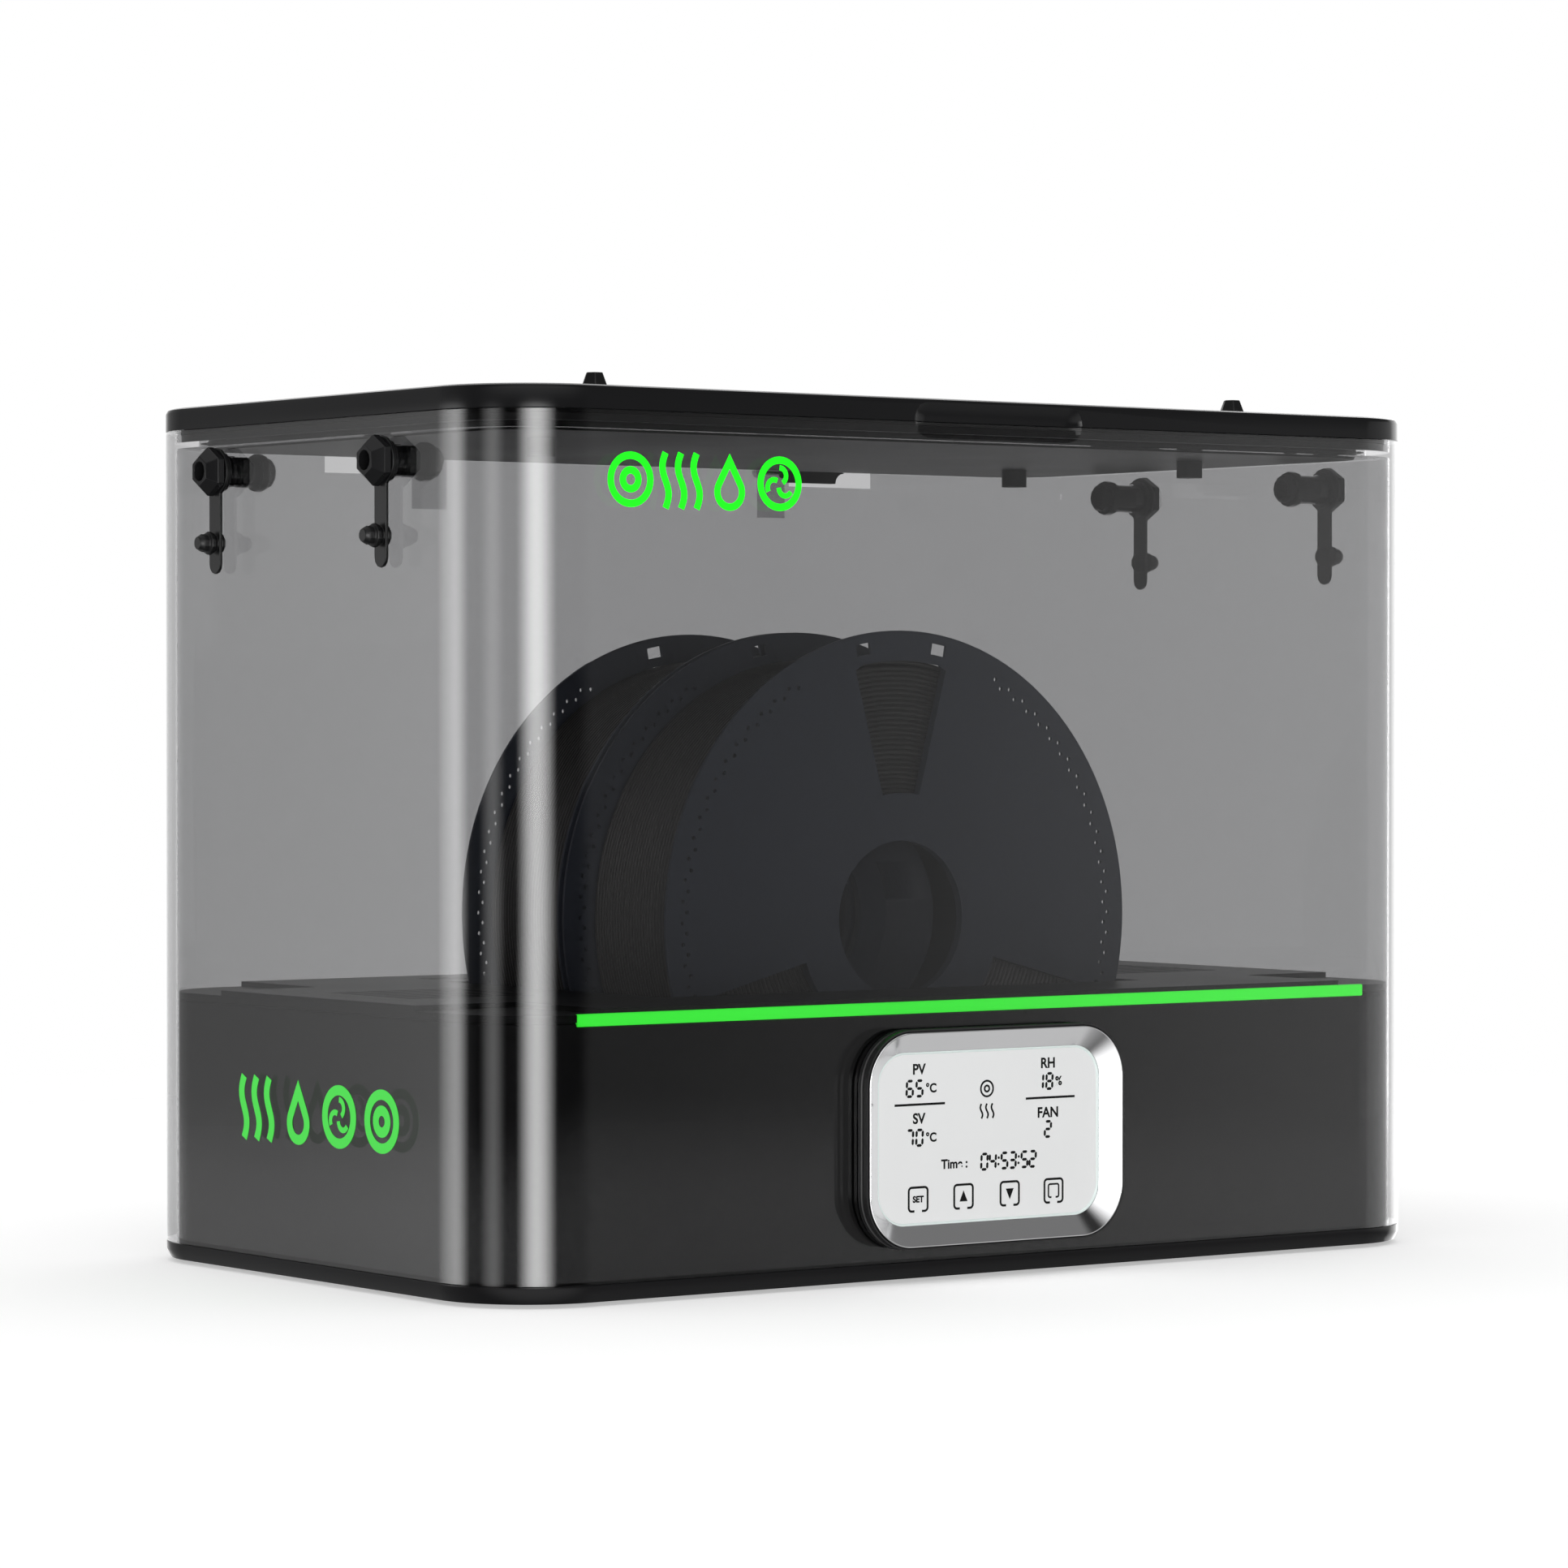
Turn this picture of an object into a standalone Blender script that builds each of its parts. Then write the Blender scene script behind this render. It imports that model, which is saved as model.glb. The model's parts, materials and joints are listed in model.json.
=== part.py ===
"""Filament dryer box: a clear sleeve on a black base, two spools on rollers inside, a hinged lid on top."""

from math import atan2, cos, pi, radians, sin, sqrt

import bmesh
import bpy
from mathutils import Matrix, Vector

# Driving dimensions, in metres: X to the right, Y to the back, Z up, origin under the middle.
# GAP lies between pieces, a joined shape runs SINK into its neighbour, a cutter runs PAST a face.
WIDTH = 0.407
DEPTH = 0.2366
CORNER = 0.036
WALL = 0.004
GAP = 0.0003
SINK = 0.0005
PAST = 0.01
TRAY_BOTTOM = 0.0012
TRAY_TOP = 0.0068
DECK_TOP = 0.094
PLATEAU_TOP = 0.0958
SHELL_TOP = 0.2893
LID_TOP = 0.2974
FRONT = -DEPTH / 2
BACK = DEPTH / 2

# Spools and the rollers that carry them
SPOOL_RADIUS = 0.1
SPOOL_WIDTH = 0.0622
SPOOL_Z = 0.1201
SPOOL_Y = 0.0323
ROLLER_RADIUS = 0.007
ROLLER_X = 0.0569
ROLLER_Z = SPOOL_Z - sqrt((SPOOL_RADIUS + ROLLER_RADIUS + GAP) ** 2 - ROLLER_X**2)

# Display, outlets, hinge
DISPLAY_X = -0.00475
DISPLAY_Z = 0.0483
DISPLAY_FRONT = -0.1241
OUTLET_Y = 0.053
OUTLET_Z = 0.274
HINGE_Y = 0.1214
HINGE_Z = 0.284
FAN_X = 0.152

# Facets of a quarter corner, of a round piece and of a small round piece
CORNER_STEPS = 6
ROUND_STEPS = 32
SMALL_STEPS = 14

for old in list(bpy.data.objects):
    bpy.data.objects.remove(old, do_unlink=True)

PARTS = bpy.data.collections.new("filament_dryer")
CUTTERS = bpy.data.collections.new("cutters")
for collection in (PARTS, CUTTERS):
    bpy.context.scene.collection.children.link(collection)


def material(name, colour, roughness, metallic=0.0, alpha=1.0):
    made = bpy.data.materials.new(name)
    made.use_nodes = True
    shader = made.node_tree.nodes["Principled BSDF"]
    shader.inputs["Base Color"].default_value = (*colour, 1.0)
    shader.inputs["Roughness"].default_value = roughness
    shader.inputs["Metallic"].default_value = metallic
    shader.inputs["Alpha"].default_value = alpha
    made.diffuse_color = (*colour, alpha)
    return made


BLACK_PLASTIC = material("black_plastic", (0.015, 0.015, 0.016), 0.45)
SMOKED_CLEAR = material("smoked_clear", (0.3, 0.3, 0.31), 0.05, alpha=0.35)
SOFT_RUBBER = material("black_silicone", (0.02, 0.02, 0.02), 0.7)
SILVER = material("silver_bezel", (0.75, 0.75, 0.76), 0.25, metallic=1.0)
SCREEN_WHITE = material("screen_white", (0.8, 0.82, 0.83), 0.3)
GREEN_LIGHT = material("green_light", (0.05, 0.86, 0.06), 0.4)
STEEL = material("axle_steel", (0.55, 0.55, 0.56), 0.3, metallic=1.0)
HEATER_FINS = material("heater_fins", (0.7, 0.7, 0.7), 0.35, metallic=1.0)
BOARD_GREEN = material("board_green", (0.02, 0.12, 0.05), 0.5)
SPOOL_BLUE_BLACK = material("spool_blue_black", (0.02, 0.022, 0.03), 0.6)
FILAMENT_BLACK = material("filament_black", (0.012, 0.012, 0.014), 0.4)


def new_object(name, mesh, collection=PARTS):
    made = bpy.data.objects.new(name, mesh)
    collection.objects.link(made)
    return made


def finish(shape, name, look, angle=30):
    """A finished piece: its name, its material and smooth round faces."""
    shape.name = name
    shape.data.name = name
    shape.data.materials.clear()
    shape.data.materials.append(look)
    shape.data.shade_smooth()
    shape.data.set_sharp_from_angle(angle=radians(angle))
    return shape


def mesh_of(shape):
    """The evaluated shape as a plain welded mesh in world space; the shape itself is removed."""
    bpy.context.view_layer.update()
    graph = bpy.context.evaluated_depsgraph_get()
    mesh = bpy.data.meshes.new_from_object(shape.evaluated_get(graph))
    mesh.transform(shape.matrix_world)
    work = bmesh.new()
    work.from_mesh(mesh)
    bmesh.ops.remove_doubles(work, verts=work.verts, dist=1e-6)
    bmesh.ops.recalc_face_normals(work, faces=work.faces)
    work.to_mesh(mesh)
    work.free()
    bpy.data.objects.remove(shape, do_unlink=True)
    return mesh


AXES = {
    "X": Matrix(((0, 0, 1, 0), (1, 0, 0, 0), (0, 1, 0, 0), (0, 0, 0, 1))),
    "Y": Matrix(((1, 0, 0, 0), (0, 0, -1, 0), (0, 1, 0, 0), (0, 0, 0, 1))),
    "Z": Matrix.Identity(4),
}


def prism(outlines, low, high, axis="Z"):
    """Flat outlines, the later ones holes in the first, raised along an axis from low to high."""
    curve = bpy.data.curves.new("outline", "CURVE")
    curve.dimensions = "2D"
    curve.fill_mode = "BOTH"
    curve.extrude = (high - low) / 2
    for outline in outlines:
        spline = curve.splines.new("POLY")
        spline.points.add(len(outline) - 1)
        for point, (u, v) in zip(spline.points, outline):
            point.co = (u, v, 0, 1)
        spline.use_cyclic_u = True
    shape = new_object("outline", curve)
    middle = (low + high) / 2 * (-1 if axis == "Y" else 1)
    shape.matrix_world = AXES[axis] @ Matrix.Translation((0, 0, middle))
    return new_object("prism", mesh_of(shape))


def loft(rings):
    """A closed solid through rings of equal point counts, flat at both ends."""
    work = bmesh.new()
    rows = [[work.verts.new(point) for point in ring] for ring in rings]
    count = len(rows[0])
    for lower, upper in zip(rows, rows[1:]):
        for i in range(count):
            j = (i + 1) % count
            work.faces.new((lower[i], lower[j], upper[j], upper[i]))
    work.faces.new(rows[0][::-1])
    work.faces.new(rows[-1])
    bmesh.ops.recalc_face_normals(work, faces=work.faces)
    mesh = bpy.data.meshes.new("loft")
    work.to_mesh(mesh)
    work.free()
    return new_object("loft", mesh)


def box(low, high):
    work = bmesh.new()
    bmesh.ops.create_cube(work, size=1)
    size = Vector(high) - Vector(low)
    middle = (Vector(high) + Vector(low)) / 2
    bmesh.ops.transform(work, matrix=Matrix.LocRotScale(middle, None, size), verts=work.verts)
    mesh = bpy.data.meshes.new("box")
    work.to_mesh(mesh)
    work.free()
    return new_object("box", mesh)


TURNS = {
    "X": Matrix.Rotation(pi / 2, 4, "Y"),
    "Y": Matrix.Rotation(-pi / 2, 4, "X"),
    "Z": Matrix.Identity(4),
}


def rod(axis, middle, radius, low, high, steps=SMALL_STEPS, end_radius=None):
    """A cylinder, or a cone with end_radius at its high end, along an axis through the middle point."""
    work = bmesh.new()
    bmesh.ops.create_cone(
        work,
        cap_ends=True,
        segments=steps,
        radius1=radius,
        radius2=radius if end_radius is None else end_radius,
        depth=high - low,
    )
    place = Vector(middle)
    place["XYZ".index(axis)] = (low + high) / 2
    bmesh.ops.transform(work, matrix=Matrix.Translation(place) @ TURNS[axis], verts=work.verts)
    mesh = bpy.data.meshes.new("rod")
    work.to_mesh(mesh)
    work.free()
    return new_object("rod", mesh)


def turned(profile, steps, place=Matrix.Identity(4)):
    """A profile of (radius, height) points, down its outer side, spun about Z and then placed."""
    mesh = bpy.data.meshes.new("profile")
    points = [(radius, 0, height) for radius, height in profile]
    edges = [(i, (i + 1) % len(points)) for i in range(len(points))]
    mesh.from_pydata(points, edges, [])
    shape = new_object("profile", mesh)
    screw = shape.modifiers.new("turn", "SCREW")
    screw.steps = steps
    screw.render_steps = steps
    screw.use_merge_vertices = True
    screw.merge_threshold = 1e-5
    shape.matrix_world = place
    return new_object("turned", mesh_of(shape))


def change(shape, other, operation):
    """One Boolean step; the other shape is kept as a wire-drawn cutter."""
    step = shape.modifiers.new(operation.lower(), "BOOLEAN")
    step.operation = operation
    step.object = other
    for collection in list(other.users_collection):
        collection.objects.unlink(other)
    CUTTERS.objects.link(other)
    other.hide_render = True
    other.display_type = "WIRE"
    return shape


def cut(shape, *others):
    for other in others:
        change(shape, other, "DIFFERENCE")
    return shape


def join(shape, *others):
    for other in others:
        change(shape, other, "UNION")
    return shape


def rounded(width, height, radius, steps=CORNER_STEPS, middle=(0, 0)):
    """A rectangle with round corners, drawn anticlockwise from the right."""
    points = []
    for quarter in range(4):
        side_u = 1 if quarter in (0, 3) else -1
        side_v = 1 if quarter in (0, 1) else -1
        u = middle[0] + side_u * (width / 2 - radius)
        v = middle[1] + side_v * (height / 2 - radius)
        for step in range(steps + 1):
            turn = (quarter + step / steps) * pi / 2
            points.append((u + radius * cos(turn), v + radius * sin(turn)))
    return points


def plan(inset, steps=CORNER_STEPS):
    """The outline of the sleeve seen from above, drawn in by an inset."""
    return rounded(WIDTH - 2 * inset, DEPTH - 2 * inset, CORNER - inset, steps)


def at_height(outline, z):
    return [(x, y, z) for x, y in outline]


def circle(radius, steps, middle=(0, 0)):
    turns = (2 * pi * i / steps for i in range(steps))
    return [(middle[0] + radius * cos(t), middle[1] + radius * sin(t)) for t in turns]


def on_joint(name, place, *pieces):
    """Pieces of one moving body, hung from an empty on their joint's axis."""
    axis = bpy.data.objects.new(name, None)
    axis.location = place
    PARTS.objects.link(axis)
    for piece in pieces:
        piece.parent = axis
        piece.location = -Vector(place)
    return axis


def group(*shapes):
    """Shapes that stand apart, as one object, for one Boolean step."""
    work = bmesh.new()
    for shape in shapes:
        work.from_mesh(shape.data)
        bpy.data.objects.remove(shape, do_unlink=True)
    mesh = bpy.data.meshes.new("group")
    work.to_mesh(mesh)
    work.free()
    return new_object("group", mesh)


# Base tray: a shallow moulded dish with posts for the fans and the power board, and air slots under the fans
TRAY_FLOOR = 0.0037
TRAY_EDGE = 0.0015
FOOT_X, FOOT_Y = 0.165, 0.085
FOOT_RADIUS = 0.009
FOOT_TAPER = 0.0008
FOOT_TOP = 0.0021
FAN_SIZE = 0.06
FAN_BOTTOM = 0.016
FAN_POST = 0.025
POST_RADIUS = 0.003
POST_IN = 0.005
POST_STEPS = 6
TRAY_ROOM = 0.0001
POWER_BOARD = (-0.075, 0.076, 0.045, 0.108)
POWER_BOARD_Z = 0.012

tray = loft([
    at_height(plan(TRAY_EDGE), TRAY_BOTTOM),
    at_height(plan(0), TRAY_BOTTOM + 2 * TRAY_EDGE),
    at_height(plan(0), TRAY_TOP),
])
cut(tray, prism([plan(WALL + TRAY_ROOM)], TRAY_FLOOR, TRAY_TOP + PAST))


def post(x, y, top):
    return rod("Z", (x, y, 0), POST_RADIUS, TRAY_FLOOR - SINK, top, POST_STEPS)


fan_posts = [
    post(side * FAN_X + u * FAN_POST, v * FAN_POST, FAN_BOTTOM - GAP)
    for side in (-1, 1) for u in (-1, 1) for v in (-1, 1)
]
board_posts = [
    post(x, y, POWER_BOARD_Z - GAP)
    for x in (POWER_BOARD[0] + POST_IN, POWER_BOARD[2] - POST_IN)
    for y in (POWER_BOARD[1] + POST_IN, POWER_BOARD[3] - POST_IN)
]
join(tray, group(*fan_posts, *board_posts))
AIR_SLOTS = 5
AIR_SLOT_STEP = 0.009
AIR_SLOT_HALF_X, AIR_SLOT_HALF_Y = 0.02, 0.002
slots = []
for side in (-1, 1):
    low_x, high_x = side * FAN_X - AIR_SLOT_HALF_X, side * FAN_X + AIR_SLOT_HALF_X
    for i in range(AIR_SLOTS):
        y = (i - (AIR_SLOTS - 1) / 2) * AIR_SLOT_STEP
        slots.append(box((low_x, y - AIR_SLOT_HALF_Y, 0), (high_x, y + AIR_SLOT_HALF_Y, PAST)))
cut(tray, group(*slots))
foot_places = [(u * FOOT_X, v * FOOT_Y) for v in (-1, 1) for u in (-1, 1)]
cut(tray, group(*[rod("Z", (x, y, 0), FOOT_RADIUS + GAP, 0, FOOT_TOP + GAP) for x, y in foot_places]))
finish(tray, "base_tray", BLACK_PLASTIC)
for name, (x, y) in zip(("front_left", "front_right", "rear_left", "rear_right"), foot_places):
    foot = rod("Z", (x, y, 0), FOOT_RADIUS - FOOT_TAPER, 0, FOOT_TOP, end_radius=FOOT_RADIUS)
    finish(foot, "foot_" + name, SOFT_RUBBER)

# Display window, strip rebate, inlet and hinge places, shared by the sleeve and the housing inside it
NECK_WIDTH, NECK_HEIGHT, NECK_RADIUS = 0.1, 0.0625, 0.0135
STRIP_HALF = 0.17
STRIP_LOW, STRIP_HIGH = 0.0901, 0.0942
STRIP_DEPTH = 0.0018
HOUSING_INSET = WALL + 0.0004
HOUSING_WALL = 0.0026
INLET_X, INLET_Z = 0.14, 0.04
INLET_WIDTH, INLET_HEIGHT, INLET_RADIUS = 0.0276, 0.0196, 0.003
WINDOW_REACH = 0.02
NOTCH_NEAR, NOTCH_FAR, NOTCH_LOW, NOTCH_DEPTH = 0.0825, 0.1246, 0.278, 0.006
SEAT_LOW, SEAT_HIGH, SEAT_INSET = 0.2836, 0.2856, 0.0124


def display_window():
    outline = rounded(
        NECK_WIDTH + 2 * GAP, NECK_HEIGHT + 2 * GAP, NECK_RADIUS + GAP, 5, (DISPLAY_X, DISPLAY_Z)
    )
    return prism([outline], FRONT - PAST, FRONT + WINDOW_REACH, "Y")


def inlet_window():
    outline = rounded(
        INLET_WIDTH + 2 * GAP, INLET_HEIGHT + 2 * GAP, INLET_RADIUS + GAP, 2, (INLET_X, INLET_Z)
    )
    return prism([outline], BACK - WINDOW_REACH, BACK + PAST, "Y")


# Finger scoop over the lid's edge and the sleeve's top: a capsule that dips into both
SCOOP_HALF, SCOOP_LOW, SCOOP_HIGH, SCOOP_DIP = 0.0366, 0.2839, 0.2963, 0.0022


def finger_scoop():
    half_height = (SCOOP_HIGH - SCOOP_LOW) / 2
    radius = (half_height**2 + SCOOP_DIP**2) / (2 * SCOOP_DIP)
    reach = SCOOP_HALF - half_height
    steps = 4
    arc = [i / steps * pi / 2 for i in range(steps + 1)]
    profile = [(radius * sin(t), reach + radius * cos(t)) for t in arc]
    profile += [(r, -h) for r, h in reversed(profile)]
    profile[0] = (0, profile[0][1])
    profile[-1] = (0, profile[-1][1])
    place = Matrix.Translation((0, FRONT - radius + SCOOP_DIP, (SCOOP_LOW + SCOOP_HIGH) / 2))
    return turned(profile, ROUND_STEPS, place @ TURNS["X"])


# Outer sleeve: one clear moulding with a seat for the lid's seal inside its top edge
sleeve = prism([plan(0), plan(WALL)], TRAY_TOP + GAP, SHELL_TOP)
join(sleeve, prism([plan(WALL - SINK), plan(SEAT_INSET)], SEAT_LOW, SEAT_HIGH))
notches = [
    box((low, BACK - NOTCH_DEPTH, NOTCH_LOW), (high, BACK + PAST, LID_TOP))
    for low, high in ((-NOTCH_FAR, -NOTCH_NEAR), (NOTCH_NEAR, NOTCH_FAR))
]
OUTLET_HOLE = 0.0056
outlet_holes = [
    rod("X", (0, v * OUTLET_Y, OUTLET_Z), OUTLET_HOLE, u * WIDTH / 2 - PAST, u * WIDTH / 2 + PAST)
    for u in (-1, 1) for v in (-1, 1)
]
cut(sleeve, group(*notches, *outlet_holes), display_window(), inlet_window(), finger_scoop())
finish(sleeve, "outer_shell", SMOKED_CLEAR)

# Lower housing: the black wall that stands inside the sleeve and carries the deck
HOUSING_TOP = 0.0912


def strip_rebate():
    low_y = FRONT + HOUSING_INSET + STRIP_DEPTH + GAP
    edge = STRIP_HALF + GAP
    return box((-edge, FRONT - PAST, STRIP_LOW - GAP), (edge, low_y, PLATEAU_TOP + PAST))


housing = prism([plan(HOUSING_INSET), plan(HOUSING_INSET + HOUSING_WALL)], TRAY_FLOOR + GAP, HOUSING_TOP)
cut(housing, display_window(), inlet_window(), strip_rebate())
finish(housing, "lower_housing", BLACK_PLASTIC)

strip_front = FRONT + HOUSING_INSET
strip = box((-STRIP_HALF, strip_front, STRIP_LOW), (STRIP_HALF, strip_front + STRIP_DEPTH, STRIP_HIGH))
finish(strip, "light_strip", GREEN_LIGHT)

# Deck: a plate with a raised cross, sunk into a deep well where the spools stand on their rollers
PLATEAU_X, PLATEAU_Y = 0.16, 0.062
DECK_THICK = 0.0025
WELL_HALF, WELL_END, WELL_FLOOR, WELL_WALL = 0.104, 0.069, 0.012, 0.0025
WELL_KNEE, WELL_SHIN, WELL_FOOT = 0.062, (0.078, 0.024), 0.068
BOSS_RADIUS, BOSS_REACH = 0.0065, 0.0045
AXLE_RADIUS = 0.0025
GRILLE_X, GRILLE_Y, GRILLE_LOW = 0.066, 0.062, 0.0935
DUCT_X, DUCT_Y = 0.06, 0.056
SENSOR_X, SENSOR_Y = -0.09, 0.09


def well_profile(grow, top):
    """Half of the well's section, mirrored: upright sides, then slopes that close in under the spools."""
    side = [(WELL_HALF, top), (WELL_HALF, WELL_KNEE), WELL_SHIN, (WELL_FOOT, WELL_FLOOR)]
    drops = (0, 0, -grow / 2, -grow)
    right = [(x + grow, z + drop) for (x, z), drop in zip(side, drops)]
    return [(-x, z) for x, z in right] + right[::-1]


PLATEAU_IN = HOUSING_INSET + 0.0002
edge_x = WIDTH / 2 - PLATEAU_IN
edge_y = DEPTH / 2 - PLATEAU_IN
cross_quarter = [(edge_x, PLATEAU_Y), (PLATEAU_X, PLATEAU_Y), (PLATEAU_X, edge_y)]
cross = cross_quarter + [(-x, y) for x, y in cross_quarter[::-1]]
cross += [(-x, -y) for x, y in cross_quarter] + [(x, -y) for x, y in cross_quarter[::-1]]
deck = prism([plan(HOUSING_INSET)], DECK_TOP - DECK_THICK, DECK_TOP)
join(deck, loft([at_height(cross, DECK_TOP - SINK), at_height(cross, PLATEAU_TOP)]))
well_side = WELL_END + WELL_WALL
join(deck, prism([well_profile(WELL_WALL, DECK_TOP - 2 * SINK)], -well_side, well_side, "Y"))
cut(deck, prism([well_profile(0, PLATEAU_TOP + PAST)], -WELL_END, WELL_END, "Y"))
boss_ends = ((-WELL_END - SINK, -WELL_END + BOSS_REACH), (WELL_END - BOSS_REACH, WELL_END + SINK))
axle_places = [(u * ROLLER_X, 0, ROLLER_Z) for u in (-1, 1)]
join(deck, group(*[rod("Y", p, BOSS_RADIUS, *ends) for p in axle_places for ends in boss_ends]))
axle_half = WELL_END + 0.0008
cut(deck, group(*[rod("Y", p, AXLE_RADIUS + GAP, -axle_half - GAP, axle_half + GAP) for p in axle_places]))
openings = []
seats = []
for side in (-1, 1):
    x = side * FAN_X
    half_x, half_y = DUCT_X / 2, DUCT_Y / 2
    openings.append(box((x - half_x, -half_y, DECK_TOP - PAST), (x + half_x, half_y, GRILLE_LOW)))
    half_x, half_y = GRILLE_X / 2 + GAP, GRILLE_Y / 2 + GAP
    seats.append(box((x - half_x, -half_y, GRILLE_LOW - GAP), (x + half_x, half_y, PLATEAU_TOP + PAST)))
cut(deck, group(*openings), group(*seats), strip_rebate())
SENSOR_SLOTS, SENSOR_SLOT_STEP = 4, 0.004
SENSOR_SLOT_HALF_X, SENSOR_SLOT_HALF_Y = 0.001, 0.006
SENSOR_TOP = 0.086
PEG_APART, PEG_RADIUS, PEG_STEPS = 0.011, 0.002, 8
sensor_slots = []
for i in range(SENSOR_SLOTS):
    x = SENSOR_X + (i - (SENSOR_SLOTS - 1) / 2) * SENSOR_SLOT_STEP
    sensor_slots.append(box(
        (x - SENSOR_SLOT_HALF_X, SENSOR_Y - SENSOR_SLOT_HALF_Y, DECK_TOP - PAST),
        (x + SENSOR_SLOT_HALF_X, SENSOR_Y + SENSOR_SLOT_HALF_Y, DECK_TOP + PAST),
    ))
cut(deck, group(*sensor_slots))
peg_places = [(SENSOR_X + u * PEG_APART, SENSOR_Y, 0) for u in (-1, 1)]
peg_span = (SENSOR_TOP + GAP, DECK_TOP - 2 * SINK)
join(deck, group(*[rod("Z", p, PEG_RADIUS, *peg_span, PEG_STEPS) for p in peg_places]))
finish(deck, "deck_panel", BLACK_PLASTIC)

# Air path in each side bay: fan on the tray's posts, duct with a heater on its inner step, grille in the deck
GRILLE_SLOTS = 8
GRILLE_STEP = 0.0068
GRILLE_SLOT_LONG, GRILLE_SLOT_WIDE, GRILLE_SLOT_ROUND = 0.052, 0.0036, 0.0012
FAN_TALL = 0.015
DUCT_LOW = FAN_BOTTOM + FAN_TALL + GAP
DUCT_STEP = 0.04
DUCT_WALL = 0.001
DUCT_THROAT = 0.0225
HEATER_X, HEATER_Y, HEATER_TALL = 0.054, 0.05, 0.026
HEATER_FINS_COUNT = 9
HEATER_RIM = 0.003
FIN_THICK = 0.0016
FAN_BORE = 0.0285
FAN_CORNER = 0.004
FAN_STEPS = 24
HUB_RADIUS = 0.0125
BLADES = 7
BLADE_TIP = 0.0262
BLADE_HALF_THICK = 0.0005
BLADE_MIDDLE = 0.0085
BLADE_ROOT_IN = 0.002
FAN_ARM_HALF, FAN_ARM_TALL, FAN_PLATE_TALL = 0.0015, 0.0018, 0.002


def rectangle(width, height, middle=(0, 0)):
    u, v = middle
    return [
        (u + width / 2, v + height / 2),
        (u - width / 2, v + height / 2),
        (u - width / 2, v - height / 2),
        (u + width / 2, v - height / 2),
    ]


def fan_blade(x, turn):
    """One swept blade: two thin sections, the outer one turned flatter than the root."""
    rings = []
    for radius, pitch, chord in ((HUB_RADIUS - BLADE_ROOT_IN, 42, 0.013), (BLADE_TIP, 26, 0.016)):
        tilt = radians(pitch)
        ring = []
        for along, across in ((-1, -1), (1, -1), (1, 1), (-1, 1)):
            run = along * chord / 2 * cos(tilt) - across * BLADE_HALF_THICK * sin(tilt)
            rise = along * chord / 2 * sin(tilt) + across * BLADE_HALF_THICK * cos(tilt)
            ring.append(Matrix.Rotation(turn, 4, "Z") @ Vector((radius, run, rise)))
        rings.append([(p.x + x, p.y, p.z + FAN_BOTTOM + BLADE_MIDDLE) for p in ring])
    return loft(rings)


for side, word in ((-1, "left"), (1, "right")):
    x = side * FAN_X
    steps = [(i - (GRILLE_SLOTS - 1) / 2) * GRILLE_STEP for i in range(GRILLE_SLOTS)]
    size = (GRILLE_SLOT_LONG, GRILLE_SLOT_WIDE, GRILLE_SLOT_ROUND)
    holes = [rounded(*size, 1, (x, y)) for y in steps]
    grille = prism([rounded(GRILLE_X, GRILLE_Y, 0.002, 2, (x, 0))] + holes, GRILLE_LOW, PLATEAU_TOP)
    finish(grille, "air_grille_" + word, BLACK_PLASTIC)

    outer = rectangle(DUCT_X + 2 * DUCT_WALL, DUCT_Y + 2 * DUCT_WALL, (x, 0))
    duct = prism([outer, circle(DUCT_THROAT, FAN_STEPS, (x, 0))], DUCT_LOW, DECK_TOP - DECK_THICK - GAP)
    room = rectangle(DUCT_X - 2 * DUCT_WALL, DUCT_Y - 2 * DUCT_WALL, (x, 0))
    cut(duct, prism([room], DUCT_STEP, PLATEAU_TOP))
    finish(duct, "air_duct_" + word, BLACK_PLASTIC)

    fin_step = (HEATER_Y - HEATER_RIM) / HEATER_FINS_COUNT
    rows = [(i - (HEATER_FINS_COUNT - 1) / 2) * fin_step for i in range(HEATER_FINS_COUNT)]
    gaps = [rectangle(HEATER_X - 2 * HEATER_RIM, fin_step - FIN_THICK, (x, y)) for y in rows]
    low = DUCT_STEP + GAP
    heater = prism([rectangle(HEATER_X, HEATER_Y, (x, 0))] + gaps, low, low + HEATER_TALL)
    finish(heater, "heater_block_" + word, HEATER_FINS)

    outline = rounded(FAN_SIZE, FAN_SIZE, FAN_CORNER, 3, (x, 0))
    frame = prism([outline, circle(FAN_BORE, FAN_STEPS, (x, 0))], FAN_BOTTOM, FAN_BOTTOM + FAN_TALL)
    reach = FAN_BORE + 2 * SINK
    arm_low, arm_high = FAN_BOTTOM + GAP, FAN_BOTTOM + FAN_ARM_TALL
    arms = [
        box((x - reach, -FAN_ARM_HALF, arm_low), (x + reach, FAN_ARM_HALF, arm_high)),
        box((x - FAN_ARM_HALF, -reach, arm_low), (x + FAN_ARM_HALF, reach, arm_high)),
    ]
    join(frame, *arms, rod("Z", (x, 0, 0), HUB_RADIUS, FAN_BOTTOM, FAN_BOTTOM + FAN_PLATE_TALL))
    finish(frame, "fan_frame_" + word, BLACK_PLASTIC)

    hub_span = (FAN_BOTTOM + FAN_PLATE_TALL + SINK, FAN_BOTTOM + FAN_TALL - SINK)
    rotor = rod("Z", (x, 0, 0), HUB_RADIUS, *hub_span)
    join(rotor, group(*[fan_blade(x, 2 * pi * i / BLADES) for i in range(BLADES)]))
    finish(rotor, "fan_rotor_" + word, BLACK_PLASTIC)
    on_joint("fan_axis_" + word, (x, 0, FAN_BOTTOM), rotor)

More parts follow.
